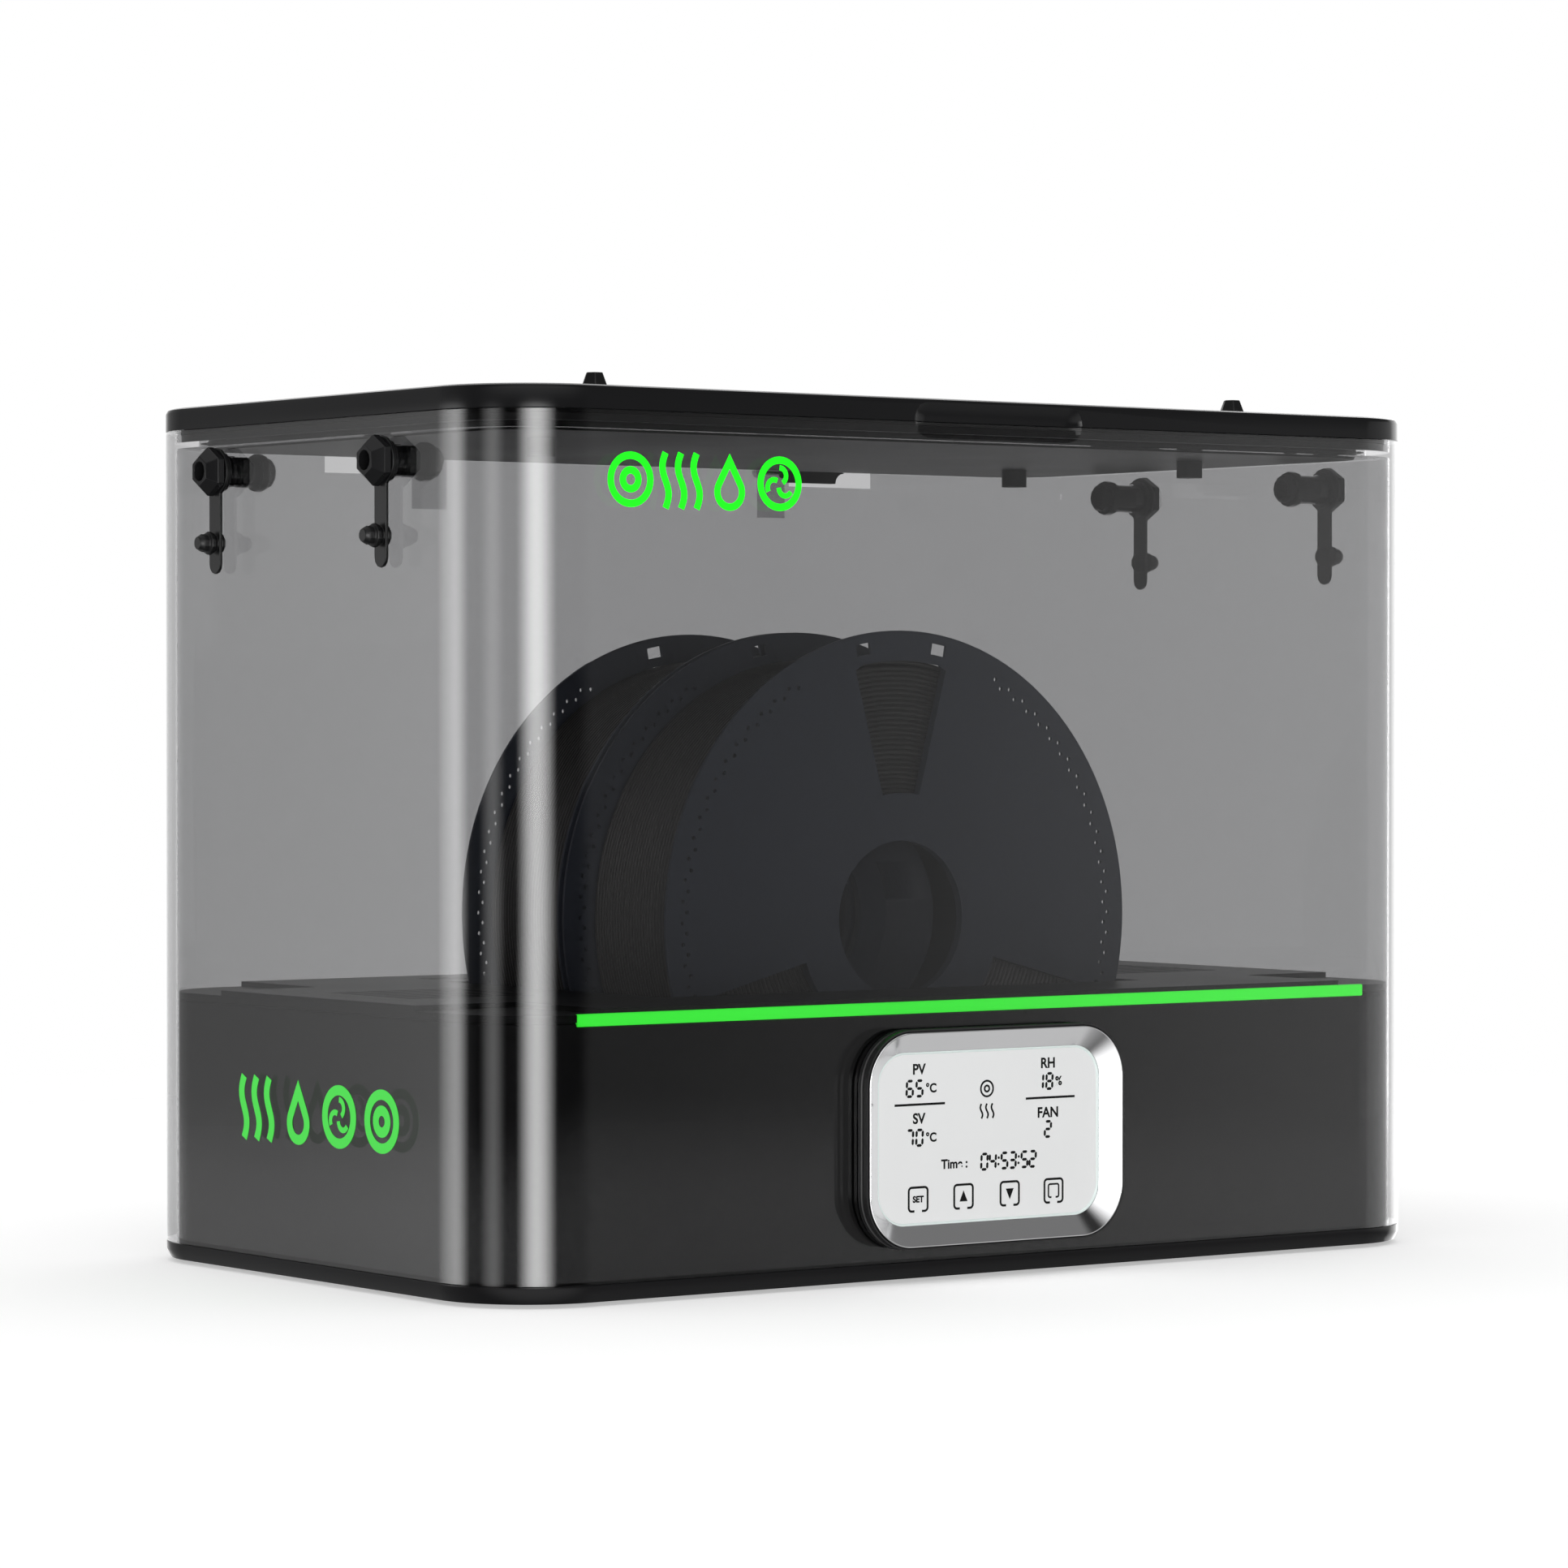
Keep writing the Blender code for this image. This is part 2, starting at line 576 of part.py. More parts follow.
# Electronics: a power board on the tray's posts, a humidity sensor under the deck, a mains inlet at the back
BOARD_THICK = 0.0016
low_x, low_y, high_x, high_y = POWER_BOARD
board_top = POWER_BOARD_Z + BOARD_THICK
power_board = box((low_x, low_y, POWER_BOARD_Z), (high_x, high_y, board_top))
component_low = board_top - SINK
transformer = box((-0.055, 0.082, component_low), (-0.029, 0.104, board_top + 0.02))
large_capacitor = rod("Z", (-0.012, 0.094, 0), 0.008, component_low, board_top + 0.025)
small_capacitor = rod("Z", (0.008, 0.094, 0), 0.006, component_low, board_top + 0.018)
heat_sink = box((0.022, 0.083, component_low), (0.036, 0.089, board_top + 0.022))
join(power_board, transformer, large_capacitor, small_capacitor, heat_sink)
finish(power_board, "power_board", BOARD_GREEN)

SENSOR_HALF_X, SENSOR_HALF_Y = 0.014, 0.008
CHIP_HALF, CHIP_TALL = 0.005, 0.003
sensor = box(
    (SENSOR_X - SENSOR_HALF_X, SENSOR_Y - SENSOR_HALF_Y, SENSOR_TOP - BOARD_THICK),
    (SENSOR_X + SENSOR_HALF_X, SENSOR_Y + SENSOR_HALF_Y, SENSOR_TOP),
)
join(sensor, box(
    (SENSOR_X - CHIP_HALF, SENSOR_Y - CHIP_HALF, SENSOR_TOP - SINK),
    (SENSOR_X + CHIP_HALF, SENSOR_Y + CHIP_HALF, SENSOR_TOP + CHIP_TALL),
))
finish(sensor, "humidity_sensor", BOARD_GREEN)

INLET_DEEP = 0.024
INLET_FLOOR = 0.008
INLET_FLANGE = 0.0025
BLADE_HALF_WIDE, BLADE_HALF_TALL, BLADE_SHORT = 0.001, 0.002, 0.002
inlet_middle = (INLET_X, INLET_Z)
body_outline = rounded(INLET_WIDTH, INLET_HEIGHT, INLET_RADIUS, 2, inlet_middle)
flange_outline = rounded(INLET_WIDTH + 0.0204, INLET_HEIGHT + 0.004, INLET_RADIUS + 0.002, 3, inlet_middle)
mouth_outline = rounded(INLET_WIDTH - 0.004, INLET_HEIGHT - 0.004, INLET_RADIUS - 0.001, 2, inlet_middle)
flange_low = BACK + GAP
mouth_low = BACK - INLET_DEEP + INLET_FLOOR
socket = prism([body_outline], BACK - INLET_DEEP, flange_low + SINK, "Y")
join(socket, prism([flange_outline], flange_low, flange_low + INLET_FLANGE, "Y"))
cut(socket, prism([mouth_outline], mouth_low, BACK + PAST, "Y"))
blades = []
for u, v in ((-0.007, -0.0015), (0.007, -0.0015), (0, 0.0025)):
    x, z = INLET_X + u, INLET_Z + v
    blades.append(box(
        (x - BLADE_HALF_WIDE, mouth_low - SINK, z - BLADE_HALF_TALL),
        (x + BLADE_HALF_WIDE, BACK - BLADE_SHORT, z + BLADE_HALF_TALL),
    ))
join(socket, group(*blades))
finish(socket, "power_inlet", BLACK_PLASTIC)

# Display: a dark housing through the sleeve's window, a dished silver bezel, a glass screen, the board behind
BEZEL_WIDTH, BEZEL_HEIGHT, BEZEL_RADIUS = 0.1095, 0.0722, 0.018
SCREEN_WIDTH, SCREEN_HEIGHT, SCREEN_RADIUS = 0.0958, 0.0585, 0.0112
SCREEN_FRONT = DISPLAY_FRONT + 0.0053
SCREEN_THICK = 0.0016
SCREEN_LAP = 0.0009
DISPLAY_MIDDLE = (DISPLAY_X, DISPLAY_Z)
RING_FRONT = DISPLAY_FRONT + 0.0005
RING_GROW = 0.0009
BEZEL_BACK = SCREEN_FRONT - GAP
RIM_BACK, DISH_WALL = DISPLAY_FRONT + 0.0022, 0.0012
NECK_DEEP = 0.0125


def display_outline(inset, steps=5):
    width, height = BEZEL_WIDTH - 2 * inset, BEZEL_HEIGHT - 2 * inset
    return rounded(width, height, BEZEL_RADIUS - inset, steps, DISPLAY_MIDDLE)


def at_depth(outline, y):
    return [(x, y, z) for x, z in outline]


def screen_outline(grow, steps=5):
    width, height = SCREEN_WIDTH + 2 * grow, SCREEN_HEIGHT + 2 * grow
    return rounded(width, height, SCREEN_RADIUS + grow, steps, DISPLAY_MIDDLE)


ring_back = FRONT - GAP
neck_back = FRONT + NECK_DEEP
neck_outline = rounded(NECK_WIDTH, NECK_HEIGHT, NECK_RADIUS, 5, DISPLAY_MIDDLE)
display_housing = loft([
    at_depth(neck_outline, neck_back),
    at_depth(neck_outline, ring_back),
    at_depth(display_outline(-RING_GROW), ring_back),
    at_depth(display_outline(-RING_GROW), ring_back - 0.0016),
    at_depth(display_outline(0), ring_back - 0.0020),
    at_depth(display_outline(0), ring_back - 0.0026),
    at_depth(display_outline(-RING_GROW), ring_back - 0.0030),
    at_depth(display_outline(-RING_GROW), RING_FRONT),
])
cut(display_housing, prism([display_outline(-GAP)], DISPLAY_FRONT - PAST, RIM_BACK + GAP, "Y"))
cut(display_housing, loft([
    at_depth(screen_outline(DISH_WALL), BEZEL_BACK + 2 * GAP),
    at_depth(display_outline(DISH_WALL), RIM_BACK + 2 * GAP),
    at_depth(display_outline(DISH_WALL), RIM_BACK - GAP),
]))
dish_back = SCREEN_FRONT + SCREEN_THICK + GAP
cut(display_housing, prism([screen_outline(SCREEN_LAP + GAP)], DISPLAY_FRONT - PAST, dish_back, "Y"))
NECK_WALL, NECK_FLOOR = 0.003, 0.0024
pocket_size = (NECK_WIDTH - 2 * NECK_WALL, NECK_HEIGHT - 2 * NECK_WALL, NECK_RADIUS - NECK_WALL)
pocket = rounded(*pocket_size, 4, DISPLAY_MIDDLE)
cut(display_housing, prism([pocket], dish_back + NECK_FLOOR, neck_back + PAST, "Y"))
finish(display_housing, "display_housing", BLACK_PLASTIC)

bezel = loft([
    at_depth(display_outline(DISH_WALL), RIM_BACK),
    at_depth(display_outline(0), RIM_BACK),
    at_depth(display_outline(0), DISPLAY_FRONT + 0.0004),
    at_depth(display_outline(0.0006), DISPLAY_FRONT),
    at_depth(screen_outline(0), BEZEL_BACK - 0.0003),
    at_depth(screen_outline(0), BEZEL_BACK),
    at_depth(screen_outline(DISH_WALL), BEZEL_BACK),
])
work = bmesh.new()
work.from_mesh(bezel.data)
caps = [face for face in work.faces if len(face.verts) > 4]
bmesh.ops.delete(work, geom=caps, context="FACES_ONLY")
rims = [edge for edge in work.edges if edge.is_boundary]
bmesh.ops.bridge_loops(work, edges=rims)
bmesh.ops.recalc_face_normals(work, faces=work.faces)
work.to_mesh(bezel.data)
work.free()
finish(bezel, "display_bezel", SILVER)

screen = prism([screen_outline(SCREEN_LAP)], SCREEN_FRONT, SCREEN_FRONT + SCREEN_THICK, "Y")
finish(screen, "display_screen", SCREEN_WHITE)

board_front = neck_back + GAP
board_back = board_front + BOARD_THICK
CONTROL_HALF_X, CONTROL_HALF_Z = 0.049, 0.03
control_board = box(
    (DISPLAY_X - CONTROL_HALF_X, board_front, DISPLAY_Z - CONTROL_HALF_Z),
    (DISPLAY_X + CONTROL_HALF_X, board_back, DISPLAY_Z + CONTROL_HALF_Z),
)
component_low = board_back - SINK
processor = box((-0.02, component_low, 0.045), (-0.006, board_back + 0.0015, 0.059))
right_connector = box((0.012, component_low, 0.03), (0.032, board_back + 0.008, 0.037))
left_connector = box((-0.045, component_low, 0.03), (-0.025, board_back + 0.008, 0.037))
buzzer = rod("Y", (0.025, 0, 0.06), 0.004, component_low, board_back + 0.009, 12)
join(control_board, processor, right_connector, left_connector, buzzer)
finish(control_board, "control_board", BOARD_GREEN)

# Roller sets: a steel axle on each side of the well, a roller for each spool on it
ROLLER_GAP = 0.0024
ROLLER_OUT = 0.0625
ROLLER_CHAMFER = 0.001
ROLLER_STEPS = 16
for side, word in ((-1, "left"), (1, "right")):
    x = side * ROLLER_X
    axle = rod("Y", (x, 0, ROLLER_Z), AXLE_RADIUS, -axle_half, axle_half)
    finish(axle, "roller_axle_" + word, STEEL)
    for way, place in ((-1, "front"), (1, "rear")):
        near, far = sorted((way * ROLLER_GAP / 2, way * ROLLER_OUT))
        profile = [
            (AXLE_RADIUS + GAP, far),
            (ROLLER_RADIUS - ROLLER_CHAMFER, far),
            (ROLLER_RADIUS, far - ROLLER_CHAMFER),
            (ROLLER_RADIUS, near + ROLLER_CHAMFER),
            (ROLLER_RADIUS - ROLLER_CHAMFER, near),
            (AXLE_RADIUS + GAP, near),
        ]
        roller = turned(profile, ROLLER_STEPS, Matrix.Translation((x, 0, ROLLER_Z)) @ TURNS["Y"])
        name = f"roller_{place}_{word}"
        finish(roller, name, BLACK_PLASTIC)
        on_joint(name + "_axis", (x, (near + far) / 2, ROLLER_Z), roller)

# Filament outlets: a hex-nosed sleeve through each side wall, with a strap plug hung on its neck
NECK_OF_OUTLET = 0.0052
OUTLET_BORE = 0.0034
STRAP_LOW, STRAP_HIGH = 0.0022, 0.0034
STRAP_RING = 0.0082
STRAP_HALF = 0.0035
STRAP_END = 0.239
PLUG_Z = 0.2495
OUTLET_STEPS = 12


def outward(side, y, z):
    """A frame on the side wall's outer face whose Z points away from the box."""
    return Matrix.Translation((side * WIDTH / 2, y, z)) @ Matrix.Rotation(side * pi / 2, 4, "Y")


def along_x(side, low, high):
    return sorted((side * (WIDTH / 2 + low), side * (WIDTH / 2 + high)))


def outlet_sleeve(side, y):
    neck = NECK_OF_OUTLET
    profile = [
        (0, 0.005), (neck, 0.005), (neck, 0.0019), (0.007, 0.0019), (0.007, GAP), (neck, GAP),
        (neck, -0.0126), (0.0065, -0.0126), (0.0065, -0.0156), (neck, -0.0156),
        (neck, -0.018), (0.0042, -0.019), (0, -0.019),
    ]
    place = outward(side, y, OUTLET_Z)
    sleeve = turned(profile, OUTLET_STEPS, place)
    nose = []
    for radius, height in ((0.0084, STRAP_HIGH + GAP), (0.0084, 0.0061), (0.0052, 0.0095)):
        nose.append([place @ Vector((u, v, height)) for u, v in circle(radius, 6)])
    join(sleeve, loft(nose))
    return cut(sleeve, rod("X", (0, y, OUTLET_Z), OUTLET_BORE, *along_x(side, -0.03, 0.02), OUTLET_STEPS))


def strap_outline(y):
    """The strap's ring and tail in one line: round the ring, then down one side and up the other."""
    opening = atan2(STRAP_HALF, sqrt(STRAP_RING**2 - STRAP_HALF**2))
    sweep = 2 * (pi - opening)
    turns = [-pi / 2 + opening + sweep * i / 12 for i in range(13)]
    points = [(y + STRAP_RING * cos(t), OUTLET_Z + STRAP_RING * sin(t)) for t in turns]
    tail = [pi + pi * i / 6 for i in range(7)]
    low = STRAP_END + STRAP_HALF
    return points + [(y + STRAP_HALF * cos(t), low + STRAP_HALF * sin(t)) for t in tail]


def strap_plug(side, y):
    hole = circle(NECK_OF_OUTLET + 0.0004, OUTLET_STEPS, (y, OUTLET_Z))
    strap = prism([strap_outline(y), hole], *along_x(side, STRAP_LOW, STRAP_HIGH), "X")
    plug = [
        (0, 0.0102), (0.0022, 0.0102), (0.0031, 0.0086), (0.0031, 0.0068), (0.004, 0.0062),
        (0.004, 0.0048), (0.0031, 0.0042), (0.0031, 0.0018), (0.0038, 0.0014), (0.003, 0.0006), (0, 0.0006),
    ]
    return join(strap, turned(plug, 10, outward(side, y, PLUG_Z)))


for side, hand in ((-1, "left"), (1, "right")):
    for way, place in ((-1, "front"), (1, "rear")):
        y = way * OUTLET_Y
        finish(outlet_sleeve(side, y), f"outlet_{place}_{hand}", BLACK_PLASTIC)
        plug = finish(strap_plug(side, y), f"strap_plug_{place}_{hand}", SOFT_RUBBER)
        on_joint(plug.name + "_axis", (side * WIDTH / 2, y, OUTLET_Z), plug)

# Lid: a tray-shaped cover, a liner plug screwed into it, a seal, two studs on top, two arms at the back
LID_BOTTOM = SHELL_TOP + GAP
COVER_RIM, COVER_TOP = 0.005, 0.0025
LINER_STEP = 0.2886
PLUG_TOP_INSET, PLUG_INSET, PLUG_LOW = 0.0136, 0.0164, 0.2832
LID_BOSS_X, LID_BOSS_Y, LID_BOSS_LOW, LID_BOSS_RADIUS = 0.142, 0.051, 0.277, 0.00475
STUD_X, STUD_Y, STUD_TOP = 0.139, -0.078, 0.304
STUD_STEM = 0.0025

cover = loft([
    at_height(plan(0), LID_BOTTOM),
    at_height(plan(0), LID_TOP - 0.0018),
    at_height(plan(0.0006), LID_TOP - 0.0005),
    at_height(plan(0.0018), LID_TOP),
])
cut(cover, prism([plan(COVER_RIM)], LID_BOTTOM - PAST, LID_TOP - COVER_TOP), finger_scoop())
stud_places = [(side * STUD_X, STUD_Y, 0) for side in (-1, 1)]
cut(cover, group(*[rod("Z", p, STUD_STEM + GAP, LID_BOTTOM, LID_TOP + PAST, 12) for p in stud_places]))
finish(cover, "lid_cover", BLACK_PLASTIC)

liner = loft([
    at_height(plan(PLUG_INSET), PLUG_LOW),
    at_height(plan(PLUG_TOP_INSET), LINER_STEP),
    at_height(plan(COVER_RIM + GAP), LINER_STEP),
    at_height(plan(COVER_RIM + GAP), LID_TOP - COVER_TOP - GAP),
])
boss_places = [(u * LID_BOSS_X, v * LID_BOSS_Y, 0) for u in (-1, 1) for v in (-1, 1)]
join(liner, group(*[rod("Z", p, LID_BOSS_RADIUS, LID_BOSS_LOW, PLUG_LOW + SINK, 12) for p in boss_places]))
finish(liner, "lid_liner", BLACK_PLASTIC)

SEAL_OUTER, SEAL_INNER = 0.0056, 0.0128
seal = prism([plan(SEAL_OUTER), plan(SEAL_INNER)], SEAT_HIGH + GAP, LINER_STEP - GAP)
finish(seal, "lid_seal", SOFT_RUBBER)

lid_pieces = [cover, liner, seal]
for (x, y, _), hand in zip(stud_places, ("left", "right")):
    low = LID_TOP + GAP
    rings = []
    for radius, z in ((0.0046, low), (0.0046, low + 0.0022), (0.003, STUD_TOP)):
        rings.append(at_height(circle(radius, 6, (x, y)), z))
    stud = join(loft(rings), rod("Z", (x, y, 0), STUD_STEM, LID_TOP - 0.0021, low + 0.001, 12))
    lid_pieces.append(finish(stud, "lid_stud_" + hand, SOFT_RUBBER))

# Hinges: arms on the lid drop into the sleeve's notches and turn on pins held by brackets on the back wall
ARM_NEAR, ARM_FAR, ARM_LOW = 0.084, 0.109, 0.2795
ARM_FILLET = 0.004
BRACKET_NEAR, BRACKET_FAR, BRACKET_LOW = 0.072, 0.0836, 0.266
BARREL = 0.0027
PIN_RADIUS = 0.0013
WEB_HALF = 0.002
PLATE_THICK = 0.002
END_STEP = 0.0001
PIN_SHORT = 0.001


def hinge_barrel(low, high):
    return rod("X", (0, HINGE_Y, HINGE_Z), BARREL, low, high)


def pin_hole(low, high):
    return rod("X", (0, HINGE_Y, HINGE_Z), PIN_RADIUS + GAP, low, high, 12)


for side, hand in ((-1, "left"), (1, "right")):
    low, high = sorted((side * ARM_NEAR, side * ARM_FAR))
    hollow = [pi - i / 4 * pi / 2 for i in range(5)]
    leaf = [(ARM_FAR, SHELL_TOP), (ARM_NEAR, SHELL_TOP), (ARM_NEAR, ARM_LOW)]
    leaf += [(ARM_FAR + ARM_FILLET * cos(t), ARM_LOW + ARM_FILLET * sin(t)) for t in hollow]
    arm = prism([[(side * x, z) for x, z in leaf]], BACK - WALL + GAP, BACK - GAP, "Y")
    web_far = ARM_FAR - ARM_FILLET - PIN_SHORT
    web_low, web_high = sorted((side * (ARM_NEAR + 2 * END_STEP), side * web_far))
    join(arm, box((web_low, BACK - WALL / 2, HINGE_Z - WEB_HALF), (web_high, HINGE_Y, HINGE_Z + WEB_HALF)))
    join(arm, hinge_barrel(web_low + END_STEP, web_high - END_STEP))
    cut(arm, pin_hole(low - PAST, high + PAST))
    lid_pieces.append(finish(arm, "hinge_arm_" + hand, BLACK_PLASTIC))

    low, high = sorted((side * BRACKET_NEAR, side * BRACKET_FAR))
    bracket = box((low, BACK + GAP, BRACKET_LOW), (high, BACK + GAP + PLATE_THICK, HINGE_Z))
    join(bracket, hinge_barrel(low + END_STEP, high - END_STEP))
    cut(bracket, pin_hole(low - PAST, high + PAST))
    finish(bracket, "hinge_bracket_" + hand, BLACK_PLASTIC)

    low, high = sorted((side * (BRACKET_NEAR + PIN_SHORT), side * (web_far - PIN_SHORT)))
    pin = rod("X", (0, HINGE_Y, HINGE_Z), PIN_RADIUS, low, high, 12)
    finish(pin, "hinge_pin_" + hand, STEEL)

on_joint("lid_axis", (0, HINGE_Y, HINGE_Z), *lid_pieces)

# Spools: two moulded halves, each a windowed flange with half of the drum, round a full winding of filament
BORE_RADIUS = 0.027
FLANGE_THICK = 0.0034
DRUM_RADIUS, DRUM_WALL = 0.0404, 0.0022
WINDOW_OUTER, WINDOW_INNER = 0.088, 0.0428
WINDOW_WIDE, WINDOW_NARROW = 0.0395, 0.016
SLOT_RADIUS, SLOT_TURN, SLOT_WIDTH, SLOT_HEIGHT = 0.0947, 10, 0.0062, 0.004
SPOOL_STEPS, DRUM_STEPS = 36, 24
WINDOW_BEVEL_X, WINDOW_BEVEL_Z = 0.003, 0.002
WINDING_ROOM = 0.0008
TURN_GAP = 0.0005
WINDING_RADIUS = 0.0885
STRAND_RADIUS = 0.0032
LOOPS = 7
LOOP_POINTS = 24


def spun(outline, turn):
    """An outline drawn at the top of the flange, turned round the spool's axis."""
    points = [Matrix.Rotation(-turn, 2) @ Vector(point) for point in outline]
    return [(p.x, SPOOL_Z + p.y) for p in points]


def spool_half(y, way):
    middle = (0, SPOOL_Z)
    window = [
        (WINDOW_NARROW / 2, WINDOW_INNER),
        (WINDOW_WIDE / 2, WINDOW_OUTER - WINDOW_BEVEL_Z),
        (WINDOW_WIDE / 2 - WINDOW_BEVEL_X, WINDOW_OUTER),
    ]
    window += [(-x, z) for x, z in reversed(window)]
    slot = rectangle(SLOT_WIDTH, SLOT_HEIGHT, (0, SLOT_RADIUS))
    outlines = [circle(SPOOL_RADIUS, SPOOL_STEPS, middle), circle(BORE_RADIUS, DRUM_STEPS, middle)]
    outlines += [spun(window, 2 * pi * i / 3) for i in range(3)]
    outlines += [spun(slot, radians(turn)) for turn in (-SLOT_TURN, SLOT_TURN)]
    face = y + way * SPOOL_WIDTH / 2
    flange = prism(outlines, *sorted((face, face - way * FLANGE_THICK)), "Y")
    ring = [circle(radius, DRUM_STEPS, middle) for radius in (DRUM_RADIUS, DRUM_RADIUS - DRUM_WALL)]
    drum_ends = sorted((face - way * (FLANGE_THICK - SINK), y + way * GAP / 2))
    return join(flange, prism(ring, *drum_ends, "Y"))


def strand_route(y):
    """The middle line of the outer layer: even turns from flange to flange, straight at each end."""
    pitch = 2 * STRAND_RADIUS + TURN_GAP
    points = []
    for i in range(LOOPS * LOOP_POINTS + 1):
        turn = 2 * pi * i / LOOP_POINTS
        along = (i / LOOP_POINTS - LOOPS / 2) * pitch
        points.append(Vector((WINDING_RADIUS * cos(turn), y + along, SPOOL_Z + WINDING_RADIUS * sin(turn))))
    start = points[0] - (points[1] - points[0]).normalized() * 2 * STRAND_RADIUS
    end = points[-1] + (points[-1] - points[-2]).normalized() * 2 * STRAND_RADIUS
    return [start] + points + [end]


def least_gap(points):
    """The smallest clear distance between turns of the strand, between points a half turn or more apart."""
    apart = LOOP_POINTS // 2
    least = min((p - q).length for i, p in enumerate(points) for q in points[i + apart :])
    return least - 2 * STRAND_RADIUS


def wound_filament(y):
    points = strand_route(y)
    curve = bpy.data.curves.new("strand", "CURVE")
    curve.dimensions = "3D"
    curve.bevel_depth = STRAND_RADIUS
    curve.bevel_resolution = 1
    curve.use_fill_caps = True
    spline = curve.splines.new("POLY")
    spline.points.add(len(points) - 1)
    for point, place in zip(spline.points, points):
        point.co = (*place, 1)
    print(f"least gap between turns: {least_gap(points) * 1000:.2f} mm")
    return new_object("winding", mesh_of(new_object("strand", curve)))


half_width = SPOOL_WIDTH / 2 - FLANGE_THICK - WINDING_ROOM
core_outer = WINDING_RADIUS - STRAND_RADIUS - TURN_GAP
core_profile = [
    (DRUM_RADIUS + GAP, half_width),
    (core_outer, half_width),
    (core_outer, -half_width),
    (DRUM_RADIUS + GAP, -half_width),
]
for way, word in ((-1, "front"), (1, "rear")):
    y = way * SPOOL_Y
    outer_half = finish(spool_half(y, way), f"spool_{word}_half_outer", SPOOL_BLUE_BLACK)
    inner_half = finish(spool_half(y, -way), f"spool_{word}_half_inner", SPOOL_BLUE_BLACK)
    core = turned(core_profile, DRUM_STEPS, Matrix.Translation((0, y, SPOOL_Z)) @ TURNS["Y"])
    finish(core, f"spool_{word}_wound_core", FILAMENT_BLACK)
    winding = finish(wound_filament(y), f"spool_{word}_filament", FILAMENT_BLACK)
    on_joint(f"spool_{word}_axis", (0, y, SPOOL_Z), outer_half, inner_half, core, winding)
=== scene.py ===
"""Looks of the filament dryer box: every piece in the order in which the box is put together."""

import json
from math import acos, cos, degrees, pi, radians, sin, tan

import bmesh
import bpy
from mathutils import Matrix, Vector

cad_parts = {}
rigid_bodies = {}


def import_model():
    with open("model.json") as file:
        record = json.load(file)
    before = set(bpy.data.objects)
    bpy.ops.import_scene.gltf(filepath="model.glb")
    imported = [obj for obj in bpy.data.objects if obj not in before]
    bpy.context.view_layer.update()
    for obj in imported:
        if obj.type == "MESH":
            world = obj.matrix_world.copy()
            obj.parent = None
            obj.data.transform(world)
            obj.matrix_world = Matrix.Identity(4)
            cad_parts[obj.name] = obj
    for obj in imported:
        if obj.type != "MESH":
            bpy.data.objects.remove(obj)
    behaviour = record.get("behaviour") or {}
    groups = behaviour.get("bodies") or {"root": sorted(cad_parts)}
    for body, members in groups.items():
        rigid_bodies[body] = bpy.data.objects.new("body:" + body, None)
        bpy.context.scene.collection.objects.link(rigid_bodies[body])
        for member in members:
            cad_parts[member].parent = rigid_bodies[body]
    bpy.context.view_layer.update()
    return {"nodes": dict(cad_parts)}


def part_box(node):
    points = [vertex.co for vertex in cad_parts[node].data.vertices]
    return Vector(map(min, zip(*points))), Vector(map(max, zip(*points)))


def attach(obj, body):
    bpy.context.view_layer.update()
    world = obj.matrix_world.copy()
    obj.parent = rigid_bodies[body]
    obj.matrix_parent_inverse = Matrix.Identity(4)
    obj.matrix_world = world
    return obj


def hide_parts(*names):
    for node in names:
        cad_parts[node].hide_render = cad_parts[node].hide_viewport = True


for startup in list(bpy.data.objects):
    bpy.data.objects.remove(startup, do_unlink=True)
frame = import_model()
scene = bpy.context.scene
scene.view_settings.view_transform = "Standard"

# Studio: a pale floor in a white surround. Feathered softboxes stand round the front and the left,
# low and wide, so that their reflections run down the round corners of the sleeve.
CAMERA_EYE = Vector((-1.1809, -1.5994, 0.1914))
CAMERA_YAW, CAMERA_PITCH = radians(36.352), radians(0.729)
CAMERA_LENS = 127.9
SOFTBOX_REACH, SOFTBOX_HEIGHT = 2.4, 0.09
FRONT_SOFTBOX_WAY = (-0.485, -0.875)
CEILING_HEIGHT, CEILING_SIZE, CEILING_GLOW = 2.2, 2.4, 0.8
ROOM_LIGHT = 0.5
FLOOR_HALF, FLOOR_LEVEL = 1.6, -0.0002
FLOOR_FADE_START, FLOOR_FADE_END = 0.35, 1.1

ahead = Vector((
    sin(CAMERA_YAW) * cos(CAMERA_PITCH), cos(CAMERA_YAW) * cos(CAMERA_PITCH), -sin(CAMERA_PITCH)
))
rightward = Vector((cos(CAMERA_YAW), -sin(CAMERA_YAW), 0))
camera_data = bpy.data.cameras.new("camera")
camera_data.lens = CAMERA_LENS
camera_data.sensor_width = 36
camera = bpy.data.objects.new("camera", camera_data)
camera_turn = Matrix((rightward, rightward.cross(ahead), -ahead)).transposed()
camera.matrix_world = Matrix.Translation(CAMERA_EYE) @ camera_turn.to_4x4()
scene.collection.objects.link(camera)
scene.camera = camera


def calculated(tree, operation, first, second=None):
    """A Math node's result; each input is a socket or a plain number."""
    step = tree.nodes.new("ShaderNodeMath")
    step.operation = operation
    for socket, value in zip(step.inputs, (first, second)):
        if isinstance(value, bpy.types.NodeSocket):
            tree.links.new(value, socket)
        elif value is not None:
            socket.default_value = value
    return step.outputs[0]


def ramped(tree, value, start, end, low, high):
    """The value, eased from low at start to high at end."""
    ramp = tree.nodes.new("ShaderNodeMapRange")
    ramp.interpolation_type = "SMOOTHSTEP"
    tree.links.new(value, ramp.inputs["Value"])
    for name, number in (("From Min", start), ("From Max", end), ("To Min", low), ("To Max", high)):
        ramp.inputs[name].default_value = number
    return ramp.outputs["Result"]


